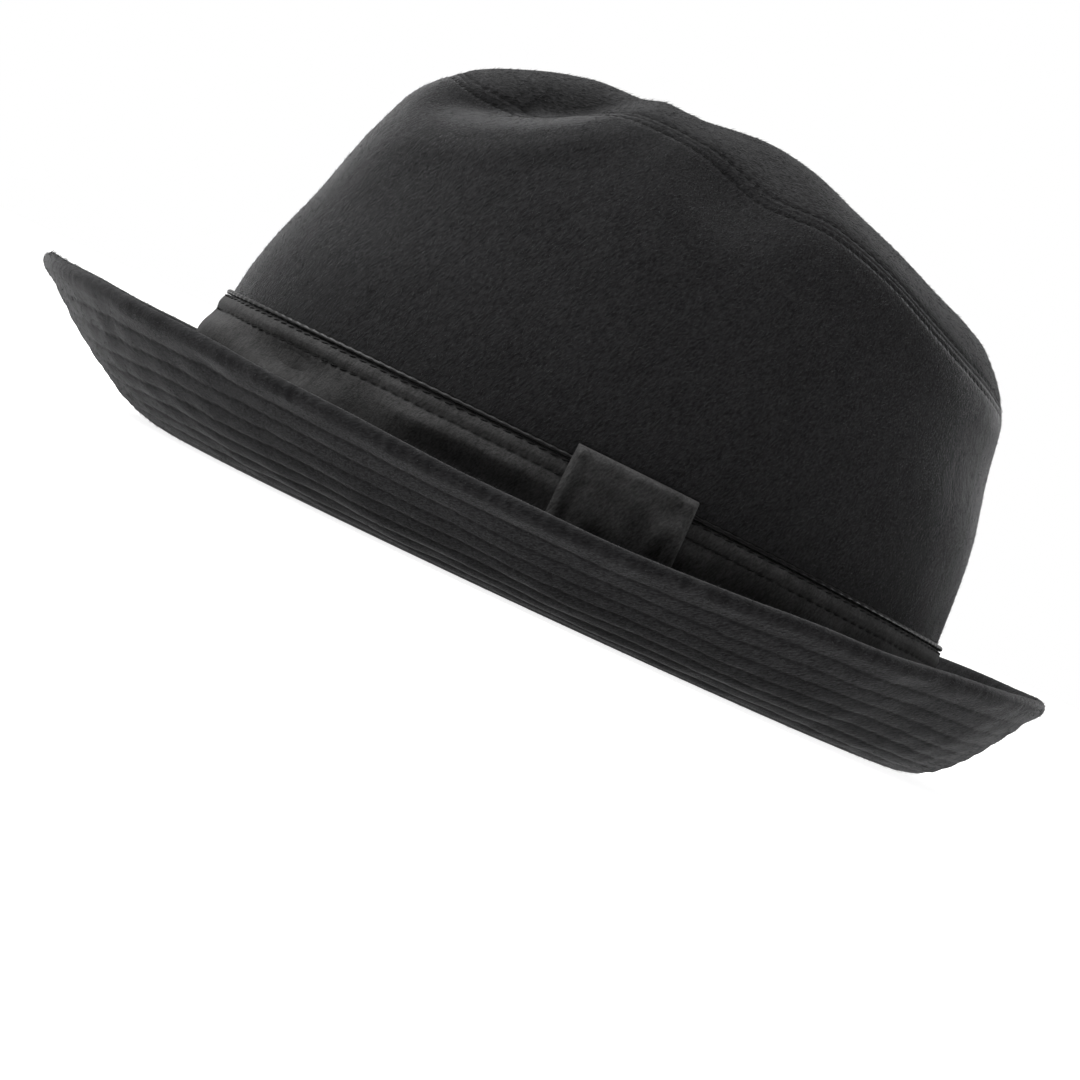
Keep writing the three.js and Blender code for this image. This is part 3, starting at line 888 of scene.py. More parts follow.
# %% The loop's sections
LOOP_FRONT = 82.2
LOOP_BACK = 100.7
LOOP_THICKNESS = 1.4
LOOP_ABOVE_BAND = 4.9
LOOP_COLUMNS = 72
LOOP_ROWS = 60
EDGE_THICKNESS = 0.35
EDGE_ROUND = 1.8
TOP_EDGE_SHARE = 0.35
TURNED_IN = (0.2, 1.2, 1.6)
SIDE_SWELLS = ((2.2, 1.5, 0.45), (4.6, 1.1, -0.16))
TOP_SWELLS = ((1.8, 1.4, 0.4), (4.6, 1.2, -0.12))
LOOP_WAVES = {"size": 11, "height": 0.4, "seed": 7}
LOOP_FOLD = {"down": 11, "from_back": 6, "slant": 0.35, "height": 0.9, "half_width": 2.4, "half_length": 5}
LOOP_TOP_ROUND = 0.5
LOOP_ROWS_CLIMB = 0.8


def round_edge(from_edge):
    """A quarter circle from the edge inwards."""
    left = 1 - np.minimum(from_edge / EDGE_ROUND, 1)
    return np.sqrt(np.clip(1 - left**2, 0, 1))


def loop_fold(run, width, from_top):
    """The fold is a bell across a slanting line and fades out above and below."""
    beyond = from_top - LOOP_FOLD["down"]
    beside = run - width + LOOP_FOLD["from_back"] + beyond * LOOP_FOLD["slant"]
    across = bell(beside, 0, LOOP_FOLD["half_width"])
    return LOOP_FOLD["height"] * across * bell(beyond, 0, LOOP_FOLD["half_length"])


def loop_points():
    """The leather's thickness falls to nearly nothing along its edges in a quarter circle."""
    share = (1 - np.cos(np.linspace(0, np.pi, LOOP_COLUMNS))) / 2
    share = 0.5 * share + 0.5 * np.linspace(0, 1, LOOP_COLUMNS)
    angle = LOOP_FRONT + (LOOP_BACK - LOOP_FRONT) * share
    top = band_top(angle) + LOOP_ABOVE_BAND
    climb = np.linspace(0, 1, LOOP_ROWS) ** LOOP_ROWS_CLIMB
    height = TRIM_FOOT + (top - LOOP_TOP_ROUND - TRIM_FOOT) * climb[:, None]
    grid_angle = np.broadcast_to(angle, height.shape)
    run = run_round(top_line(angle))[:-1]
    width = run[-1]
    from_side = np.broadcast_to(np.minimum(run, width - run), height.shape)
    from_top = top - height
    relief = bells(from_side, SIDE_SWELLS) + bells(from_top, TOP_SWELLS) + loop_fold(run, width, from_top)
    relief = relief + soft_waves(off_wall(grid_angle, height, 0 * height), **LOOP_WAVES)
    full = round_edge(from_side) * (TOP_EDGE_SHARE + (1 - TOP_EDGE_SHARE) * round_edge(from_top))
    thick = EDGE_THICKNESS + (LOOP_THICKNESS + relief - EDGE_THICKNESS) * full
    inner = GAP + PIPING_DEPTH + GAP
    inside = [
        (top, 0.5 * inner),
        (top - TURNED_IN[0], GAP),
        (top - TURNED_IN[1], GAP),
        (top - TURNED_IN[2], inner),
        ((top + TRIM_FOOT) / 2, inner),
        (TRIM_FOOT + 0 * angle, inner),
    ]
    rows = [off_wall(angle, level, distance + 0 * angle)[None] for level, distance in inside]
    return np.concatenate([off_wall(grid_angle, height, inner + thick), *rows])


loop_grid = loop_points()
print("the loop's grid has", loop_grid.shape[0], "points in each of its", loop_grid.shape[1], "sections")

# %% The loop
def make_loop():
    """The grid's first and last sections are closed with one face each."""
    rows, columns = loop_grid.shape[:2]
    quads = grid_corners(rows, columns, closed_columns=False).tolist()
    front = np.arange(rows) * columns
    caps = [front[::-1].tolist(), (front + columns - 1).tolist()]
    mesh = bpy.data.meshes.new("leather_loop")
    mesh.from_pydata((loop_grid.reshape(-1, 3) * MM + CROWN_MIDDLE).tolist(), [], quads + caps)
    mesh.update(calc_edges=True)
    return finish_piece(mesh, "leather_loop", "band_loop")


loop = make_loop()

# %% [markdown]
# ## Threads
# A line of stitching is a row of short threads, each as long as a stitch and sunk at its ends. Hundreds of
# them are made at once: one small spindle is worked out, and numpy copies it to every place along the
# line, turned to the line's own direction.

# %% One spindle of thread
SPINDLE_SIDES = 6
SPINDLE_RINGS = 5


def spindle():
    """A ball with few faces, one long from end to end along x: rings of points and a point at each end."""
    turn = np.pi * np.arange(1, SPINDLE_RINGS + 1) / (SPINDLE_RINGS + 1)
    side = 2 * np.pi * np.arange(SPINDLE_SIDES) / SPINDLE_SIDES
    x = np.repeat(-np.cos(turn), SPINDLE_SIDES)
    wide = np.repeat(np.sin(turn), SPINDLE_SIDES)
    y = wide * np.tile(np.cos(side), SPINDLE_RINGS)
    z = wide * np.tile(np.sin(side), SPINDLE_RINGS)
    points = np.concatenate([np.stack([x, y, z], -1), [[-1, 0, 0], [1, 0, 0]]]) / 2
    here = np.arange(SPINDLE_SIDES)
    there = (here + 1) % SPINDLE_SIDES
    start_point, end_point = np.full((2, SPINDLE_SIDES), len(x)) + [[0], [1]]
    faces = [np.stack([start_point, there, here], -1)]
    for step in range(SPINDLE_RINGS - 1):
        low, high = step * SPINDLE_SIDES, (step + 1) * SPINDLE_SIDES
        faces.append(np.stack([low + here, low + there, high + here], -1))
        faces.append(np.stack([low + there, high + there, high + here], -1))
    last = (SPINDLE_RINGS - 1) * SPINDLE_SIDES
    faces.append(np.stack([end_point, last + here, last + there], -1))
    return points, np.concatenate(faces)


print("a spindle has", len(spindle()[1]), "faces")

# %% A row of stitches
def read_line(at, run, line):
    """Places on a closed line, read between its points."""
    closed = np.concatenate([line, line[:1]])
    return np.stack([np.interp(at, run, closed[:, axis]) for axis in range(3)], -1)


def one_long(vectors):
    """The same directions, each one long."""
    return vectors / np.linalg.norm(vectors, axis=-1, keepdims=True)


def threads_along(line, outward, pitch, length, thickness, slant=0):
    """Spindles along a closed line: each lies along the line, turned aside by a slant, and is as thick as the
    thread across. Returns the points and the triangles of all of them."""
    run = run_round(line)
    count = int(round(run[-1] / pitch))
    at = (np.arange(count) + 0.5) * run[-1] / count
    centre = read_line(at, run, line)
    out = one_long(read_line(at, run, outward))
    along = read_line((at + 0.5) % run[-1], run, line) - centre
    along = one_long(along - out * np.sum(along * out, axis=-1, keepdims=True))
    lie = along * math.cos(slant) + np.cross(out, along) * math.sin(slant)
    cross = np.cross(out, lie)
    shape, faces = spindle()
    x, y, z = (shape[None, :, axis, None] for axis in range(3))
    points = centre[:, None] + lie[:, None] * x * length
    points = points + (cross[:, None] * y + out[:, None] * z) * thickness
    triangles = faces[None] + (np.arange(count) * len(shape))[:, None, None]
    return points.reshape(-1, 3), triangles.reshape(-1, 3)


def thread_piece(name, lines):
    """Joins several rows of stitches into one piece."""
    points, faces, start = [], [], 0
    for line_points, line_faces in lines:
        points.append(line_points)
        faces.append(line_faces + start)
        start += len(line_points)
    return finish_piece(faces_mesh(name, np.concatenate(points), np.concatenate(faces)), name)


stitches_round = round(run_round(top_line(trim_angles))[-1] / BAND_STITCH)
print("one row of the band has", stitches_round, "stitches")

# %% [markdown]
# The band's threads lie on the leather and slant a little, as a machine lays them. Those of the seam are
# pulled deep into the wool, so each line is found on the rounded corner itself, where its furrow is, and
# sunk into it.

# %% The band's and the seam's threads
BAND_THREAD = {"pitch": BAND_STITCH, "length": 0.74 * BAND_STITCH, "thickness": 0.42, "slant": 0.16}
BAND_THREAD_SUNK = 0.12
SEAM_THREAD = {"pitch": SEAM_STITCH, "length": 0.66 * SEAM_STITCH, "thickness": 0.36}
SEAM_THREAD_SUNK = FURROW_DEPTH - 0.05
SEARCH_STEPS = 33


def band_threads():
    """A row at each of the two heights, on the leather's face."""
    rows = []
    for down in BAND_STITCHES_DOWN:
        height = band_top(trim_angles) - down
        line = off_wall(trim_angles, height, GAP + BAND_THICKNESS - BAND_THREAD_SUNK + 0 * trim_angles)
        wall = off_wall(trim_angles, height, 0 * trim_angles)
        rows.append(threads_along(line, line - wall, **BAND_THREAD))
    return thread_piece("band_threads", rows)


def seam_threads():
    """In each column of a narrow grid beside the seam, the row nearest to the stitches' distance is taken."""
    rows = []
    steps = np.linspace(0, 2 * STITCH_FROM_SEAM, SEARCH_STEPS)[:, None]
    grid_angle = np.broadcast_to(angles, (SEARCH_STEPS, ROUND_STEPS))
    side_base = side_point(grid_angle, wall_rise(grid_angle, steps))
    tip_base = sewn_tip_point(grid_angle, tip_reach(angles, steps))
    for base, facing in ((side_base, -1), (tip_base, 1)):
        from_seam = run_down(base)
        base = rounded(base, from_seam, angles)
        row = np.argmin(np.abs(from_seam - STITCH_FROM_SEAM), axis=0)
        column = np.arange(ROUND_STEPS)
        line, out = base[row, column], facing * normals_of(base)[row, column]
        rows.append(threads_along(line - out * SEAM_THREAD_SUNK, out, **SEAM_THREAD))
    return thread_piece("seam_threads", rows)


band_stitching = band_threads()
seam_stitching = seam_threads()

# %% [markdown]
# ## The nap's own fibres
# Brushed wool has a short nap that stands off the cloth: it blurs the hat's outline and catches the light.
# Blender's hair could make it, but hair is not a closed surface and would be lost when the hat is used
# elsewhere. So each fibre is a thin spike of three sides, closed at its root. All of them lean the way the
# hat was brushed, backwards and up, and each a little differently.

# %% Fibres on a skin
NAP_ALONG_CROWN = (0, 0.47, 0.88)
NAP_ALONG_TIP = (0, 1, 0.1)
NAP_ALONG_BRIM = (0, 0.85, 0.5)
FIBRE_LENGTH = (0.8, 1.9)
FIBRE_WIDTH = (0.04, 0.08)
FIBRE_RAISED = (0.1, 0.45)
FIBRE_ASIDE = 0.6
ROOT_DEPTH = 0.12
SPIKE = np.array([(0, 2, 1), (0, 1, 3), (1, 2, 3), (2, 0, 3)])


def nap_fibres(name, skin, outward, along, count, seed):
    """Spikes spread over a grid evenly by area. A spike's root is a point of a cell, root = corner + u * step
    round + v * step across. It leans along the brushing, laid into the skin's own plane, turned aside and
    raised by small random angles. Spikes that would reach below the floor are left out."""
    chance = np.random.default_rng(seed)
    around = (np.roll(skin, -1, axis=1) - skin)[:-1]
    across = np.diff(skin, axis=0)
    area = np.linalg.norm(np.cross(around, across), axis=-1)
    cell = chance.choice(area.size, count, p=(area / area.sum()).ravel())
    row, column = np.divmod(cell, area.shape[1])
    u, v = chance.random((2, count, 1))
    normal = outward[row, column]
    root = skin[row, column] + around[row, column] * u + across[row, column] * v - normal * ROOT_DEPTH
    lie = np.array(along, float) - normal * (normal @ np.array(along, float))[:, None]
    lie /= np.maximum(np.linalg.norm(lie, axis=-1, keepdims=True), 1e-6)
    turn = chance.normal(0, FIBRE_ASIDE, (count, 1))
    raised = chance.uniform(*FIBRE_RAISED, (count, 1))
    flat = lie * np.cos(turn) + np.cross(normal, lie) * np.sin(turn)
    ahead = flat * np.cos(raised) + normal * np.sin(raised)
    cross = np.cross(normal, ahead)
    up = np.cross(ahead, cross)
    length = chance.uniform(*FIBRE_LENGTH, (count, 1))
    width = chance.uniform(*FIBRE_WIDTH, (count, 1))
    thirds = 2 * np.pi / 3 * np.arange(3)
    corners = [root + (cross * math.cos(third) + up * math.sin(third)) * width for third in thirds]
    points = np.stack([*corners, root + ahead * length], 1)
    points = points[points[..., 2].min(axis=1) > 0]
    triangles = (SPIKE[None] + 4 * np.arange(len(points))[:, None, None]).reshape(-1, 3)
    return finish_piece(faces_mesh(name, points, triangles), name)


side_nap = nap_fibres("nap_side", side_skin, side_outward, NAP_ALONG_CROWN, 46000, 21)
tip_nap = nap_fibres("nap_tip", tip_skin, tip_outward, NAP_ALONG_TIP, 14000, 22)
brim_nap = nap_fibres("nap_brim", brim_skin, brim_outward, NAP_ALONG_BRIM, 42000, 23)

# %% [markdown]
# ## Materials: node groups
# A material is a small program made of nodes. What more than one material uses goes into a node group with
# named inputs and outputs, built once. The nodes could be set by hand in the shader editor. Here small
# helpers make them, so that each group below reads like a sum.

# %% Node helpers
NUMBER, VECTOR = "NodeSocketFloat", "NodeSocketVector"


def add_node(tree, kind, settings=None, **inputs):
    """A node with some of its settings and input values."""
    made = tree.nodes.new(kind)
    for name, value in (settings or {}).items():
        setattr(made, name, value)
    for name, value in inputs.items():
        feed(tree, made, name.replace("_", " "), value)
    return made


def feed(tree, node, name, value):
    """Gives an input of a node a value, or links a socket to it."""
    if isinstance(value, bpy.types.NodeSocket):
        tree.links.new(value, node.inputs[name])
    elif value is not None:
        node.inputs[name].default_value = value


def new_group(name, inputs, outputs):
    """An empty node group with named sockets, and the nodes for its inputs and its results."""
    group = bpy.data.node_groups.new(name, "ShaderNodeTree")
    for socket, kind, value in inputs:
        made = group.interface.new_socket(socket, in_out="INPUT", socket_type=kind)
        if value is not None:
            made.default_value = value
    for socket, kind in outputs:
        group.interface.new_socket(socket, in_out="OUTPUT", socket_type=kind)
    given, result = group.nodes.new("NodeGroupInput"), group.nodes.new("NodeGroupOutput")
    return group, given.outputs, result


def math_node(tree, operation, first, second=None):
    """A Math node; first and second are sockets or numbers."""
    made = add_node(tree, "ShaderNodeMath", {"operation": operation})
    feed(tree, made, 0, first)
    feed(tree, made, 1, second)
    return made.outputs[0]


def vector_node(tree, operation, first, second=None, scale=None):
    """A Vector Math node; first and second are sockets or vectors, scale is a socket or a number."""
    made = add_node(tree, "ShaderNodeVectorMath", {"operation": operation})
    for socket, value in ((0, first), (1, second), ("Scale", scale)):
        feed(tree, made, socket, value)
    return made.outputs["Value" if operation == "DOT_PRODUCT" else "Vector"]


print("a group's sockets are of the kinds", NUMBER, "and", VECTOR)

# %% Sums, bells and waves from nodes
def sum_node(tree, *parts):
    """The sum of sockets, each times its own weight, which is a number or a socket."""
    shares = [math_node(tree, "MULTIPLY", socket, weight) for socket, weight in parts]
    total = shares[0]
    for share in shares[1:]:
        total = math_node(tree, "ADD", total, share)
    return total


def bell_node(tree, off):
    """e to the power of minus the square of off."""
    square = math_node(tree, "MULTIPLY", off, off)
    return math_node(tree, "EXPONENT", math_node(tree, "MULTIPLY", square, -1.0))


def wave_node(tree, turns):
    """The cosine of a number of whole turns."""
    return math_node(tree, "COSINE", math_node(tree, "MULTIPLY", turns, 2 * math.pi))


def range_node(tree, value, low, high, to_low=0.0, to_high=1.0, clamp=True):
    """A Map Range node: low becomes to_low, and high becomes to_high."""
    made = add_node(tree, "ShaderNodeMapRange", {"clamp": clamp}, Value=value)
    for name, number in (("From Min", low), ("From Max", high), ("To Min", to_low), ("To Max", to_high)):
        feed(tree, made, name, number)
    return made.outputs[0]


def stretched_noise(tree, place, along, across_scale, along_scale, detail=2.0):
    """Noise drawn out along a direction: its place is across_scale * place + (along_scale - across_scale) *
    (place . along) * along. The scales are in spots to the metre."""
    share = vector_node(tree, "DOT_PRODUCT", place, along)
    pull = math_node(tree, "MULTIPLY", share, along_scale - across_scale)
    drawn = vector_node(tree, "SCALE", along, scale=pull)
    even = vector_node(tree, "SCALE", place, scale=across_scale)
    spot = vector_node(tree, "ADD", even, drawn)
    noise = add_node(tree, "ShaderNodeTexNoise", Vector=spot, Scale=1.0, Detail=detail, Roughness=0.6)
    return noise.outputs["Fac"]


print("one whole turn of a wave is", round(2 * math.pi, 3), "radians")

# %% [markdown]
# ## The nap of the wool
# The fibres that stand off the cloth are made, but the dense nap between them is far too fine for a mesh.
# What the eye sees of it are fine streaks, soft clumps and a pale bloom where the surface turns away. The
# streaks and clumps are noise, drawn out along the nap, in a node group that all wool pieces share. The
# bloom is the shader's sheen. A photo of wool could be wrapped round the hat instead, but noise has no
# edges and no fixed size.

# %% The nap group
STREAKS_ACROSS, STREAKS_ALONG = 3400, 1000
LOCKS_ACROSS, LOCKS_ALONG = 2000, 600
CLUMPS_ACROSS, CLUMPS_ALONG = 200, 90
STREAK_RANGE = (0.365, 0.635)


def nap_group():
    """Place is in metres and Along is the way the nap was brushed. Tone is 0 in the gaps and 1 on the
    brightest fibres. Height is in shares of the nap's own depth."""
    group, given, result = new_group(
        "brushed nap",
        [("Place", VECTOR, None), ("Along", VECTOR, None), ("Clumps", NUMBER, 0.35)],
        [("Tone", NUMBER), ("Height", NUMBER)],
    )
    place, along = given["Place"], given["Along"]
    fibres = stretched_noise(group, place, along, STREAKS_ACROSS, STREAKS_ALONG)
    locks = stretched_noise(group, place, along, LOCKS_ACROSS, LOCKS_ALONG)
    clumps = stretched_noise(group, place, along, CLUMPS_ACROSS, CLUMPS_ALONG)
    streaks = sum_node(group, (fibres, 0.5), (locks, 0.5))
    spread = range_node(group, streaks, *STREAK_RANGE, clamp=False)
    tone = sum_node(group, (spread, 1.0), (math_node(group, "SUBTRACT", clumps, 0.5), given["Clumps"]))
    feed(group, result, "Tone", add_node(group, "ShaderNodeClamp", Value=tone).outputs[0])
    feed(group, result, "Height", sum_node(group, (streaks, 1.0), (clumps, 0.6)))
    return group


NAP = nap_group()
print("a streak of the nap is about", round(1 / STREAKS_ALONG / MM), "mm long")

# %% [markdown]
# The quilting's stitches pull the brim's wool in at every few millimetres of each row. The brim's UV map
# holds the way round the hat in its first value and the number of the row in its second, so a second group
# can find how far a place lies from the nearest row, and which stitch it belongs to. A machine's needle
# never keeps quite to its line in thick wool, so a slow noise moves each row a little to and fro.

# %% The stitch rows group
QUILT_STITCH = 3.2
ROW_SHIFT = 0.37
BETWEEN_STITCHES = 0.55
WANDER_SPOTS = 260.0


def stitch_group():
    """Dent is 1 in the middle of a stitch and falls off as a bell curve across the row. Wobble is how far the
    rows wander, in rows."""
    group, given, result = new_group(
        "stitch rows",
        [
            ("Cloth", VECTOR, None),
            ("Pitch", NUMBER, QUILT_STITCH * MM),
            ("Row width", NUMBER, 0.13),
            ("Wobble", NUMBER, 0.3),
        ],
        [("Dent", NUMBER)],
    )
    parts = add_node(group, "ShaderNodeSeparateXYZ", Vector=given["Cloth"])
    row = math_node(group, "MULTIPLY", parts.outputs["Y"], 1 / MM)
    nearest = math_node(group, "ROUND", row)
    drift = add_node(group, "ShaderNodeTexNoise", Vector=given["Cloth"], Scale=WANDER_SPOTS, Detail=1.0)
    aside = math_node(group, "SUBTRACT", drift.outputs["Fac"], 0.5)
    row = sum_node(group, (row, 1.0), (aside, given["Wobble"]))
    off = math_node(group, "DIVIDE", math_node(group, "SUBTRACT", row, nearest), given["Row width"])
    stitch = math_node(group, "DIVIDE", parts.outputs["X"], given["Pitch"])
    turns = sum_node(group, (stitch, 1.0), (nearest, ROW_SHIFT))
    pull = range_node(group, wave_node(group, turns), -1.0, 1.0, to_low=BETWEEN_STITCHES)
    feed(group, result, "Dent", math_node(group, "MULTIPLY", bell_node(group, off), pull))
    return group


STITCHES = stitch_group()
print("each row of the quilting starts", round(ROW_SHIFT * QUILT_STITCH, 1), "mm further on")

# %% [markdown]
# The furrows beside the crown's seam are in the mesh, and the wool's colour is also painted darker in them
# and
# on the seam line: painted shade in the furrows. A third group finds them from the UV map, which holds the
# way from the seam in its second value. The band's leather uses the same group with values of its own.

# %% The furrow group
def furrow_group():
    """Dent is 1 in the furrow on either side of the seam and falls off as a bell curve. Along the furrow it
    rises and falls once in each stitch, by a cosine. Seam line is the dent on the seam itself."""
    group, given, result = new_group(
        "furrow beside a seam",
        [
            ("Cloth", VECTOR, None),
            ("From seam", NUMBER, STITCH_FROM_SEAM * MM),
            ("Half width", NUMBER, 0.65 * MM),
            ("Pitch", NUMBER, SEAM_STITCH * MM),
            ("Even", NUMBER, 0.6),
            ("Seam line", NUMBER, 0.4),
        ],
        [("Dent", NUMBER)],
    )
    parts = add_node(group, "ShaderNodeSeparateXYZ", Vector=given["Cloth"])
    away = math_node(group, "ABSOLUTE", parts.outputs["Y"])
    off = math_node(group, "SUBTRACT", away, given["From seam"])
    furrow = bell_node(group, math_node(group, "DIVIDE", off, given["Half width"]))
    wave = wave_node(group, math_node(group, "DIVIDE", parts.outputs["X"], given["Pitch"]))
    uneven = math_node(group, "SUBTRACT", 1.0, given["Even"])
    dashes = sum_node(group, (given["Even"], 1.0), (wave, uneven))
    line = bell_node(group, math_node(group, "DIVIDE", away, given["Half width"]))
    line = math_node(group, "MULTIPLY", line, given["Seam line"])
    stitches = math_node(group, "MULTIPLY", furrow, dashes)
    feed(group, result, "Dent", math_node(group, "MAXIMUM", stitches, line))
    return group


FURROWS = furrow_group()
print("the furrow group is made of", len(FURROWS.nodes), "nodes")

# %% [markdown]
# Wool and leather are built alike. A pattern group reads the piece's own place and gives a tone, which
# blends a deep and a bright colour, and a height, which goes to a Bump node. The shader stays in the
# material itself, where each finish sets its own values.

# %% A surface with a pattern
def group_node(tree, group, values):
    """Places a node group with its own values."""
    made = tree.nodes.new("ShaderNodeGroup")
    made.node_tree = group
    for name, value in values.items():
        made.inputs[name].default_value = value
    return made


def cloth_dents(tree, group, values):
    """The dents of rows of stitches, found on the UV map named cloth."""
    rows = group_node(tree, group, values)
    feed(tree, rows, "Cloth", add_node(tree, "ShaderNodeUVMap", {"uv_map": "cloth"}).outputs[0])
    return rows.outputs["Dent"]


def start_surface(name, pattern, along, pattern_values, shader_values):
    """A material with its shader's values set, and the pattern's tone and height."""
    material = bpy.data.materials.new(name)
    material.use_nodes = True
    tree = material.node_tree
    shader = tree.nodes["Principled BSDF"]
    for socket, value in shader_values.items():
        shader.inputs[socket].default_value = value
    grain = group_node(tree, pattern, {"Along": Vector(along).normalized(), **pattern_values})
    feed(tree, grain, "Place", add_node(tree, "ShaderNodeTexCoord").outputs["Object"])
    return material, tree, grain.outputs["Tone"], grain.outputs["Height"]


def end_surface(tree, tone, height, colours, bump, depth):
    """The tone blends two colours, and the height makes the surface rough."""
    shader = tree.nodes["Principled BSDF"]
    deep, bright = ((*colour, 1) for colour in colours)
    mix = add_node(tree, "ShaderNodeMix", {"data_type": "RGBA"}, Factor=tone, A=deep, B=bright)
    relief = add_node(tree, "ShaderNodeBump", Strength=bump, Distance=depth * MM, Height=height)
    feed(tree, shader, "Base Color", mix.outputs["Result"])
    feed(tree, shader, "Normal", relief.outputs[0])


def dress(finish, *pieces):
    """Gives one material to some pieces."""
    for piece in pieces:
        piece.data.materials.append(finish)
    print(finish.name, "is on", ", ".join(piece.name for piece in pieces))


print("materials that came with the packed model:", len(bpy.data.materials))

# %% [markdown]
# All the wool is one cloth, but its nap lies in another direction on each piece. Each piece gets two greys
# and a sheen of its own. The bright grey of the tip and of the brim is lighter than that of the side: painted
# light, which lifts those pieces where the lamps alone leave them too dark. One material for all of them
# would be simpler, but then the hat would look cast in one.

# %% Wool for each piece
WOOL_COLOURS = ((0.0036, 0.0036, 0.0038), (0.0172, 0.0172, 0.0177))
# The tip's and the brim's bright greys are lighter than the side's: painted light on the same wool.
TIP_COLOURS_PAINTED_LIGHTER = (WOOL_COLOURS[0], (0.023, 0.023, 0.0235))
BRIM_COLOURS_PAINTED_LIGHTER = (WOOL_COLOURS[0], (0.0205, 0.0205, 0.021))
FIBRE_COLOURS = ((0.005, 0.005, 0.0052), (0.024, 0.024, 0.0245))
SHEEN_TINT = (0.75, 0.75, 0.76, 1)
NAP_DEPTH = 0.4
# How much darker the dents are painted: painted shade in the furrows and between the brim's ribs.
DENT_SHADE = 0.9
DENT_DEPTH = 0.5


def wool(name, colours, along, sheen, bloom=0.24, clumps=0.35, bump=0.9, dents=None):
    """Rough wool cloth: the tone of its nap blends two greys, and is painted darker in the dents of its
    stitches.
    That is painted shade in the furrows and between the ribs, and on the brim, whose threads are not in the
    mesh, also the thread's own dark colour. bloom is how wide the sheen spreads."""
    finish = {
        "Roughness": 0.95,
        "Specular IOR Level": 0.05,
        "Sheen Weight": sheen,
        "Sheen Roughness": bloom,
        "Sheen Tint": SHEEN_TINT,
    }
    material, tree, tone, height = start_surface(name, NAP, along, {"Clumps": clumps}, finish)
    if dents:
        dent = cloth_dents(tree, dents, {})
        # Painted shade: the tone is darkened in the stitches' dents.
        light = math_node(tree, "SUBTRACT", 1.0, math_node(tree, "MULTIPLY", dent, DENT_SHADE))
        tone = math_node(tree, "MULTIPLY", tone, light)
        height = math_node(tree, "SUBTRACT", height, math_node(tree, "MULTIPLY", dent, DENT_DEPTH))
    end_surface(tree, tone, height, colours, bump, NAP_DEPTH)
    return material


side_wool = wool("side wool", WOOL_COLOURS, NAP_ALONG_CROWN, sheen=0.4, dents=FURROWS)
tip_wool = wool("tip wool", TIP_COLOURS_PAINTED_LIGHTER, NAP_ALONG_TIP, sheen=0.14, bloom=0.2, dents=FURROWS)
brim_wool = wool("brim wool", BRIM_COLOURS_PAINTED_LIGHTER, NAP_ALONG_BRIM, sheen=0.2, bloom=0.32, bump=0.65, dents=STITCHES)
fibre_wool = wool("wool fibres", FIBRE_COLOURS, NAP_ALONG_CROWN, sheen=0.1, clumps=0.6, bump=0.0)
dress(side_wool, crown_side)
dress(tip_wool, crown_tip)
dress(brim_wool, brim)
dress(fibre_wool, side_nap, tip_nap, brim_nap)

# %% [markdown]
# ## The grain of the leather
# The band and the loop are soft leather with a fine grain and a dull, brushed face. The grain is made of
# small Voronoi cells, whose borders are the creases between the pebbles, and of drawn-out patches where the
# face was brushed. The piping is smooth leather, stretched over its cord, so it is glossier.

# %% The leather group
PEBBLE_ROUND = 0.7
BRUSHED_ACROSS, BRUSHED_ALONG = 2200, 800
PATCHES_ACROSS, PATCHES_ALONG = 260, 120
LEATHER_RANGE = (0.34, 0.66)


def pebble_group():
    """Place is in metres. Tone is 1 on bright patches. Height is high in the middle of a pebble and low along
    its border."""
    group, given, result = new_group(
        "pebbled leather",
        [("Place", VECTOR, None), ("Along", VECTOR, None), ("Pebbles", NUMBER, 1400.0)],
        [("Tone", NUMBER), ("Height", NUMBER)],
    )
    place, along = given["Place"], given["Along"]
    cells = add_node(group, "ShaderNodeTexVoronoi", {"feature": "SMOOTH_F1"}, Smoothness=PEBBLE_ROUND)
    feed(group, cells, "Vector", place)
    feed(group, cells, "Scale", given["Pebbles"])
    pebbles = math_node(group, "SUBTRACT", 1.0, cells.outputs["Distance"])
    brushed = stretched_noise(group, place, along, BRUSHED_ACROSS, BRUSHED_ALONG)
    patches = stretched_noise(group, place, along, PATCHES_ACROSS, PATCHES_ALONG)
    tone = sum_node(group, (brushed, 0.65), (patches, 0.35))
    feed(group, result, "Tone", range_node(group, tone, *LEATHER_RANGE))
    feed(group, result, "Height", sum_node(group, (pebbles, 0.5), (tone, 1.0)))
    return group


PEBBLES = pebble_group()
print("the leather group is made of", len(PEBBLES.nodes), "nodes")

# %% [markdown]
# The band and the loop are of one leather, and the loop's colours are painted a little lighter than the
# band's:
# painted light. The threads are too thin to show a texture of their own. They could have a plain black, but
# the same group in near black lets them catch the light unevenly, as twisted cotton does.

# %% Leather for each piece
# Where the band's leather is painted darker: painted shade along its lower row of stitches.
BAND_ROW = {
    "From seam": BAND_STITCHES_DOWN[1] * MM,
    "Half width": 0.34 * MM,
    "Pitch": BAND_STITCH * MM,
    "Even": 0.55,
    "Seam line": 0,
}
BAND_COLOURS = ((0.0112, 0.0111, 0.0111), (0.0355, 0.035, 0.035))
# The loop's colours are lighter than the band's: painted light on the same leather.
LOOP_COLOURS_PAINTED_LIGHTER = ((0.011, 0.0109, 0.0109), (0.041, 0.0405, 0.0405))
PIPING_COLOURS = ((0.003, 0.003, 0.003), (0.006, 0.006, 0.006))
THREAD_COLOURS = ((0.002, 0.002, 0.002), (0.005, 0.005, 0.005))
GRAIN_DEPTH = 0.3


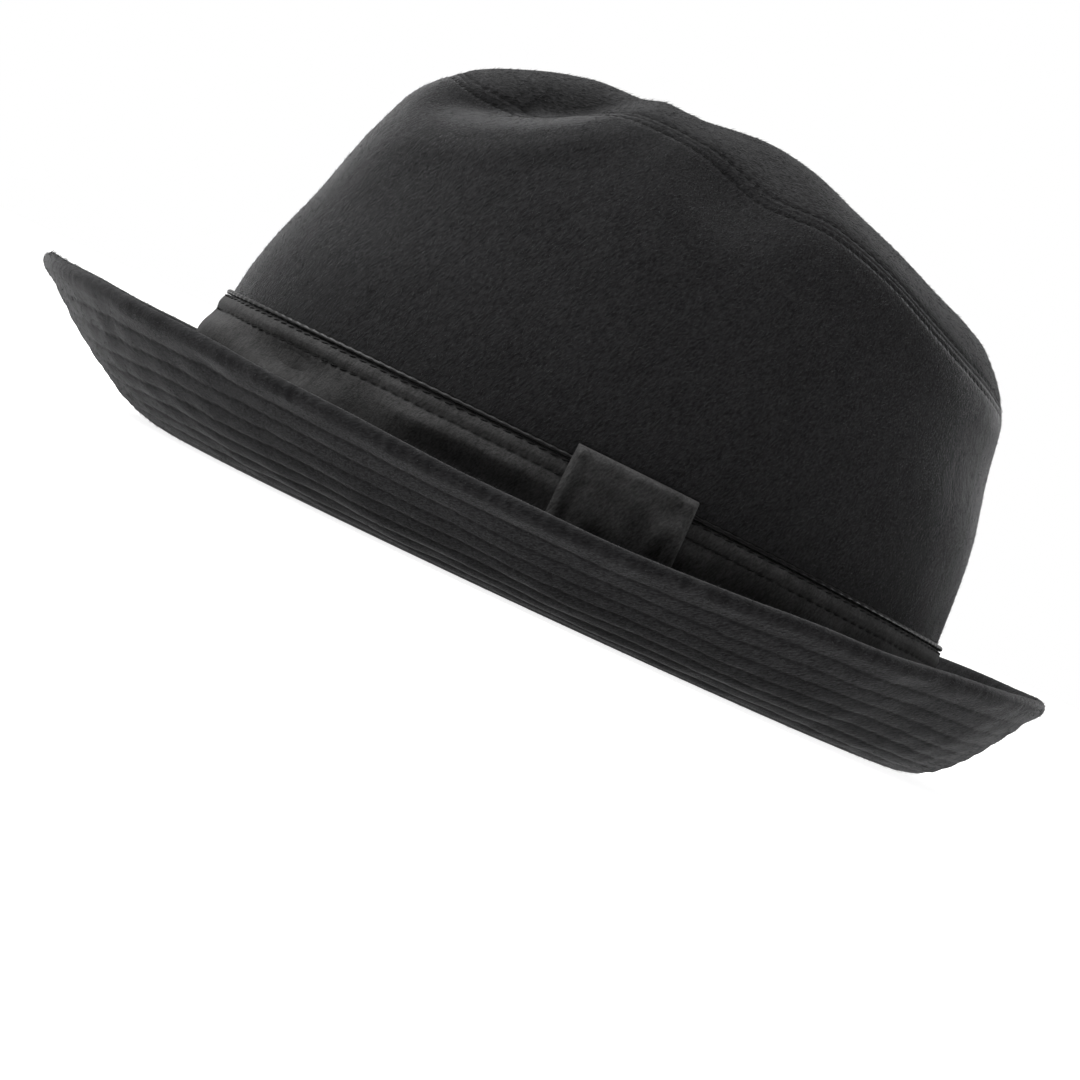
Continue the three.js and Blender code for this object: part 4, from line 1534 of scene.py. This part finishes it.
def leather(name, colours, pebbles=2200, bump=0.5, roughness=0.8, specular=0.1, stitched=False):
    """Leather with a number of pebbles to the metre, painted darker in the holes of the band's lower row:
    painted shade in the stitch holes.
    """
    finish = {"Specular IOR Level": specular, "Roughness": roughness}
    values = {"Pebbles": pebbles}
    material, tree, tone, height = start_surface(name, PEBBLES, NAP_ALONG_CROWN, values, finish)
    if stitched:
        dent = cloth_dents(tree, FURROWS, BAND_ROW)
        # Painted shade: the tone is darkened in the stitch holes of the band's lower row.
        tone = math_node(tree, "SUBTRACT", tone, dent)
        height = math_node(tree, "SUBTRACT", height, dent)
    end_surface(tree, tone, height, colours, bump, GRAIN_DEPTH)
    return material


piping_finish = {"pebbles": 1500, "bump": 0.2, "roughness": 0.36, "specular": 0.09}
dress(leather("band leather", BAND_COLOURS, stitched=True), leather_band)
dress(leather("loop leather", LOOP_COLOURS_PAINTED_LIGHTER), loop)
dress(leather("piping leather", PIPING_COLOURS, **piping_finish), piping)
dress(leather("thread", THREAD_COLOURS, pebbles=4000), band_stitching, seam_stitching)

# %% [markdown]
# ## Floor, light and camera
# The hat stands on a light table, a plain pale floor that glows a little. A white floor without the glow
# would be as uneven as the light of the lamps on it, and the glow keeps it pale all over.

# %% The floor
FLOOR_HALF = 30
FLOOR_GREY = 0.65
FLOOR_GLOW = 0.86


def make_floor():
    """One square face at height nought."""
    mesh = bpy.data.meshes.new("floor")
    corners = FLOOR_HALF * np.array([(-1, -1, 0), (1, -1, 0), (1, 1, 0), (-1, 1, 0)], float)
    mesh.from_pydata(corners.tolist(), [], [(0, 1, 2, 3)])
    floor = bpy.data.objects.new("floor", mesh)
    bpy.context.scene.collection.objects.link(floor)
    paint = bpy.data.materials.new("floor paint")
    paint.use_nodes = True
    shader = paint.node_tree.nodes["Principled BSDF"]
    shader.inputs["Base Color"].default_value = (FLOOR_GREY, FLOOR_GREY, FLOOR_GREY, 1)
    shader.inputs["Roughness"].default_value = 0.9
    shader.inputs["Emission Color"].default_value = (1, 1, 1, 1)
    shader.inputs["Emission Strength"].default_value = FLOOR_GLOW
    mesh.materials.append(paint)
    return floor


print("the floor is", 2 * FLOOR_HALF, "m wide:", make_floor().name)

# %% [markdown]
# The room is white all round, and darker where the camera stands and towards the hat's back. Its bright sides
# give the dark wool its pale edges. A picture of a studio could light the hat too, but a blend from bright
# to dim by direction is simpler, and leaves no lamp or window mirrored in the leather.

# %% The room
WORLD_BRIGHT = 1.3
WORLD_DIM = 0.015
DIM_SIDE = (0.84, 0.5, 0.2)
DIM_RANGE = (-0.1, 0.62)


def make_world():
    """The room's strength falls from bright to dim with the cosine of the angle to the dim side. The camera
    itself sees an even white."""
    world = bpy.data.worlds.new("studio")
    world.use_nodes = True
    bpy.context.scene.world = world
    tree = world.node_tree
    tree.nodes.clear()
    direction = add_node(tree, "ShaderNodeTexCoord").outputs["Generated"]
    toward = add_node(tree, "ShaderNodeVectorMath", {"operation": "DOT_PRODUCT"})
    feed(tree, toward, 0, direction)
    feed(tree, toward, 1, Vector(DIM_SIDE).normalized())
    strength = add_node(tree, "ShaderNodeMapRange", {"interpolation_type": "SMOOTHSTEP"})
    feed(tree, strength, "Value", toward.outputs["Value"])
    limits = {"From Min": DIM_RANGE[0], "From Max": DIM_RANGE[1], "To Min": WORLD_BRIGHT, "To Max": WORLD_DIM}
    for name, number in limits.items():
        feed(tree, strength, name, number)
    light = add_node(tree, "ShaderNodeBackground", Strength=strength.outputs[0])
    backdrop = add_node(tree, "ShaderNodeBackground", Color=(1, 1, 1, 1), Strength=1.0)
    mix = add_node(tree, "ShaderNodeMixShader")
    feed(tree, mix, 0, add_node(tree, "ShaderNodeLightPath").outputs["Is Camera Ray"])
    feed(tree, mix, 1, light.outputs[0])
    feed(tree, mix, 2, backdrop.outputs[0])
    add_node(tree, "ShaderNodeOutputWorld", Surface=mix.outputs[0])


make_world()
print("the room is", round(WORLD_BRIGHT / WORLD_DIM), "times as bright at its bright side as at its dim side")

# %% [markdown]
# Three soft lamps do the rest. The front lamp lights the crown's front and the brim, the top lamp draws the
# ridge of the pinch, and the back lamp, low behind the hat, lifts the back of the brim out of the dark. Small
# lamps would draw hard shadows on the soft cloth, so all three are wide.

# %% The lamps
LAMPS = {
    "front lamp": {"place": (-0.15, -1.6, 1.5), "size": 1.2, "watts": 46},
    "top lamp": {"place": (-0.3, -0.5, 1.8), "size": 1.6, "watts": 84},
    "back lamp": {"place": (-0.2, 1.8, 0.1), "size": 0.8, "watts": 27},
}
HAT_MIDDLE = (0, 0, 0.06)


def soft_lamp(name, place, size, watts):
    """A square lamp that looks at the middle of the hat."""
    lamp = bpy.data.lights.new(name, "AREA")
    lamp.size = size
    lamp.energy = watts
    made = bpy.data.objects.new(name, lamp)
    made.location = place
    made.rotation_euler = (Vector(HAT_MIDDLE) - Vector(place)).to_track_quat("-Z", "Y").to_euler()
    bpy.context.scene.collection.objects.link(made)
    print(name, "stands", round((Vector(place) - Vector(HAT_MIDDLE)).length, 2), "m away")


for name, values in LAMPS.items():
    soft_lamp(name, **values)

# %% [markdown]
# The camera stands at the wearer's left, nearly level with the hat. The hat is shown tilted, but it rests
# flat on the floor, so the camera is rolled and the hat is not. A long lens keeps its far side from looking
# too small.

# %% The camera
VIEW_DISTANCE = 1200
VIEW_TURN = 6
VIEW_RISE = 1
VIEW_ROLL = 25
VIEW_TARGET = (0, -3.4, 15.5)
LENS = 149.4
SENSOR = 36


def make_camera():
    """The camera looks from the wearer's left, a little from the front. Its right and up axes are turned by
    the roll."""
    turn, rise, roll = (math.radians(a) for a in (VIEW_TURN, VIEW_RISE, VIEW_ROLL))
    back = Vector((math.cos(turn) * math.cos(rise), -math.sin(turn) * math.cos(rise), math.sin(rise)))
    right = Vector((math.sin(turn), math.cos(turn), 0))
    up = back.cross(right)
    rolled_right = right * math.cos(roll) + up * math.sin(roll)
    rolled_up = up * math.cos(roll) - right * math.sin(roll)
    target = Vector(VIEW_TARGET) * MM + Vector(CROWN_MIDDLE)
    place = target + back * VIEW_DISTANCE * MM
    data = bpy.data.cameras.new("camera")
    data.lens = LENS
    data.sensor_width = SENSOR
    data.clip_end = 100
    camera = bpy.data.objects.new("camera", data)
    axes = Matrix((rolled_right, rolled_up, back)).transposed()
    camera.matrix_world = Matrix.Translation(place) @ axes.to_4x4()
    bpy.context.scene.collection.objects.link(camera)
    bpy.context.scene.camera = camera
    print("the camera is", round(place.z / MM), "mm above the floor")


make_camera()
bpy.context.scene.view_settings.view_transform = "Standard"
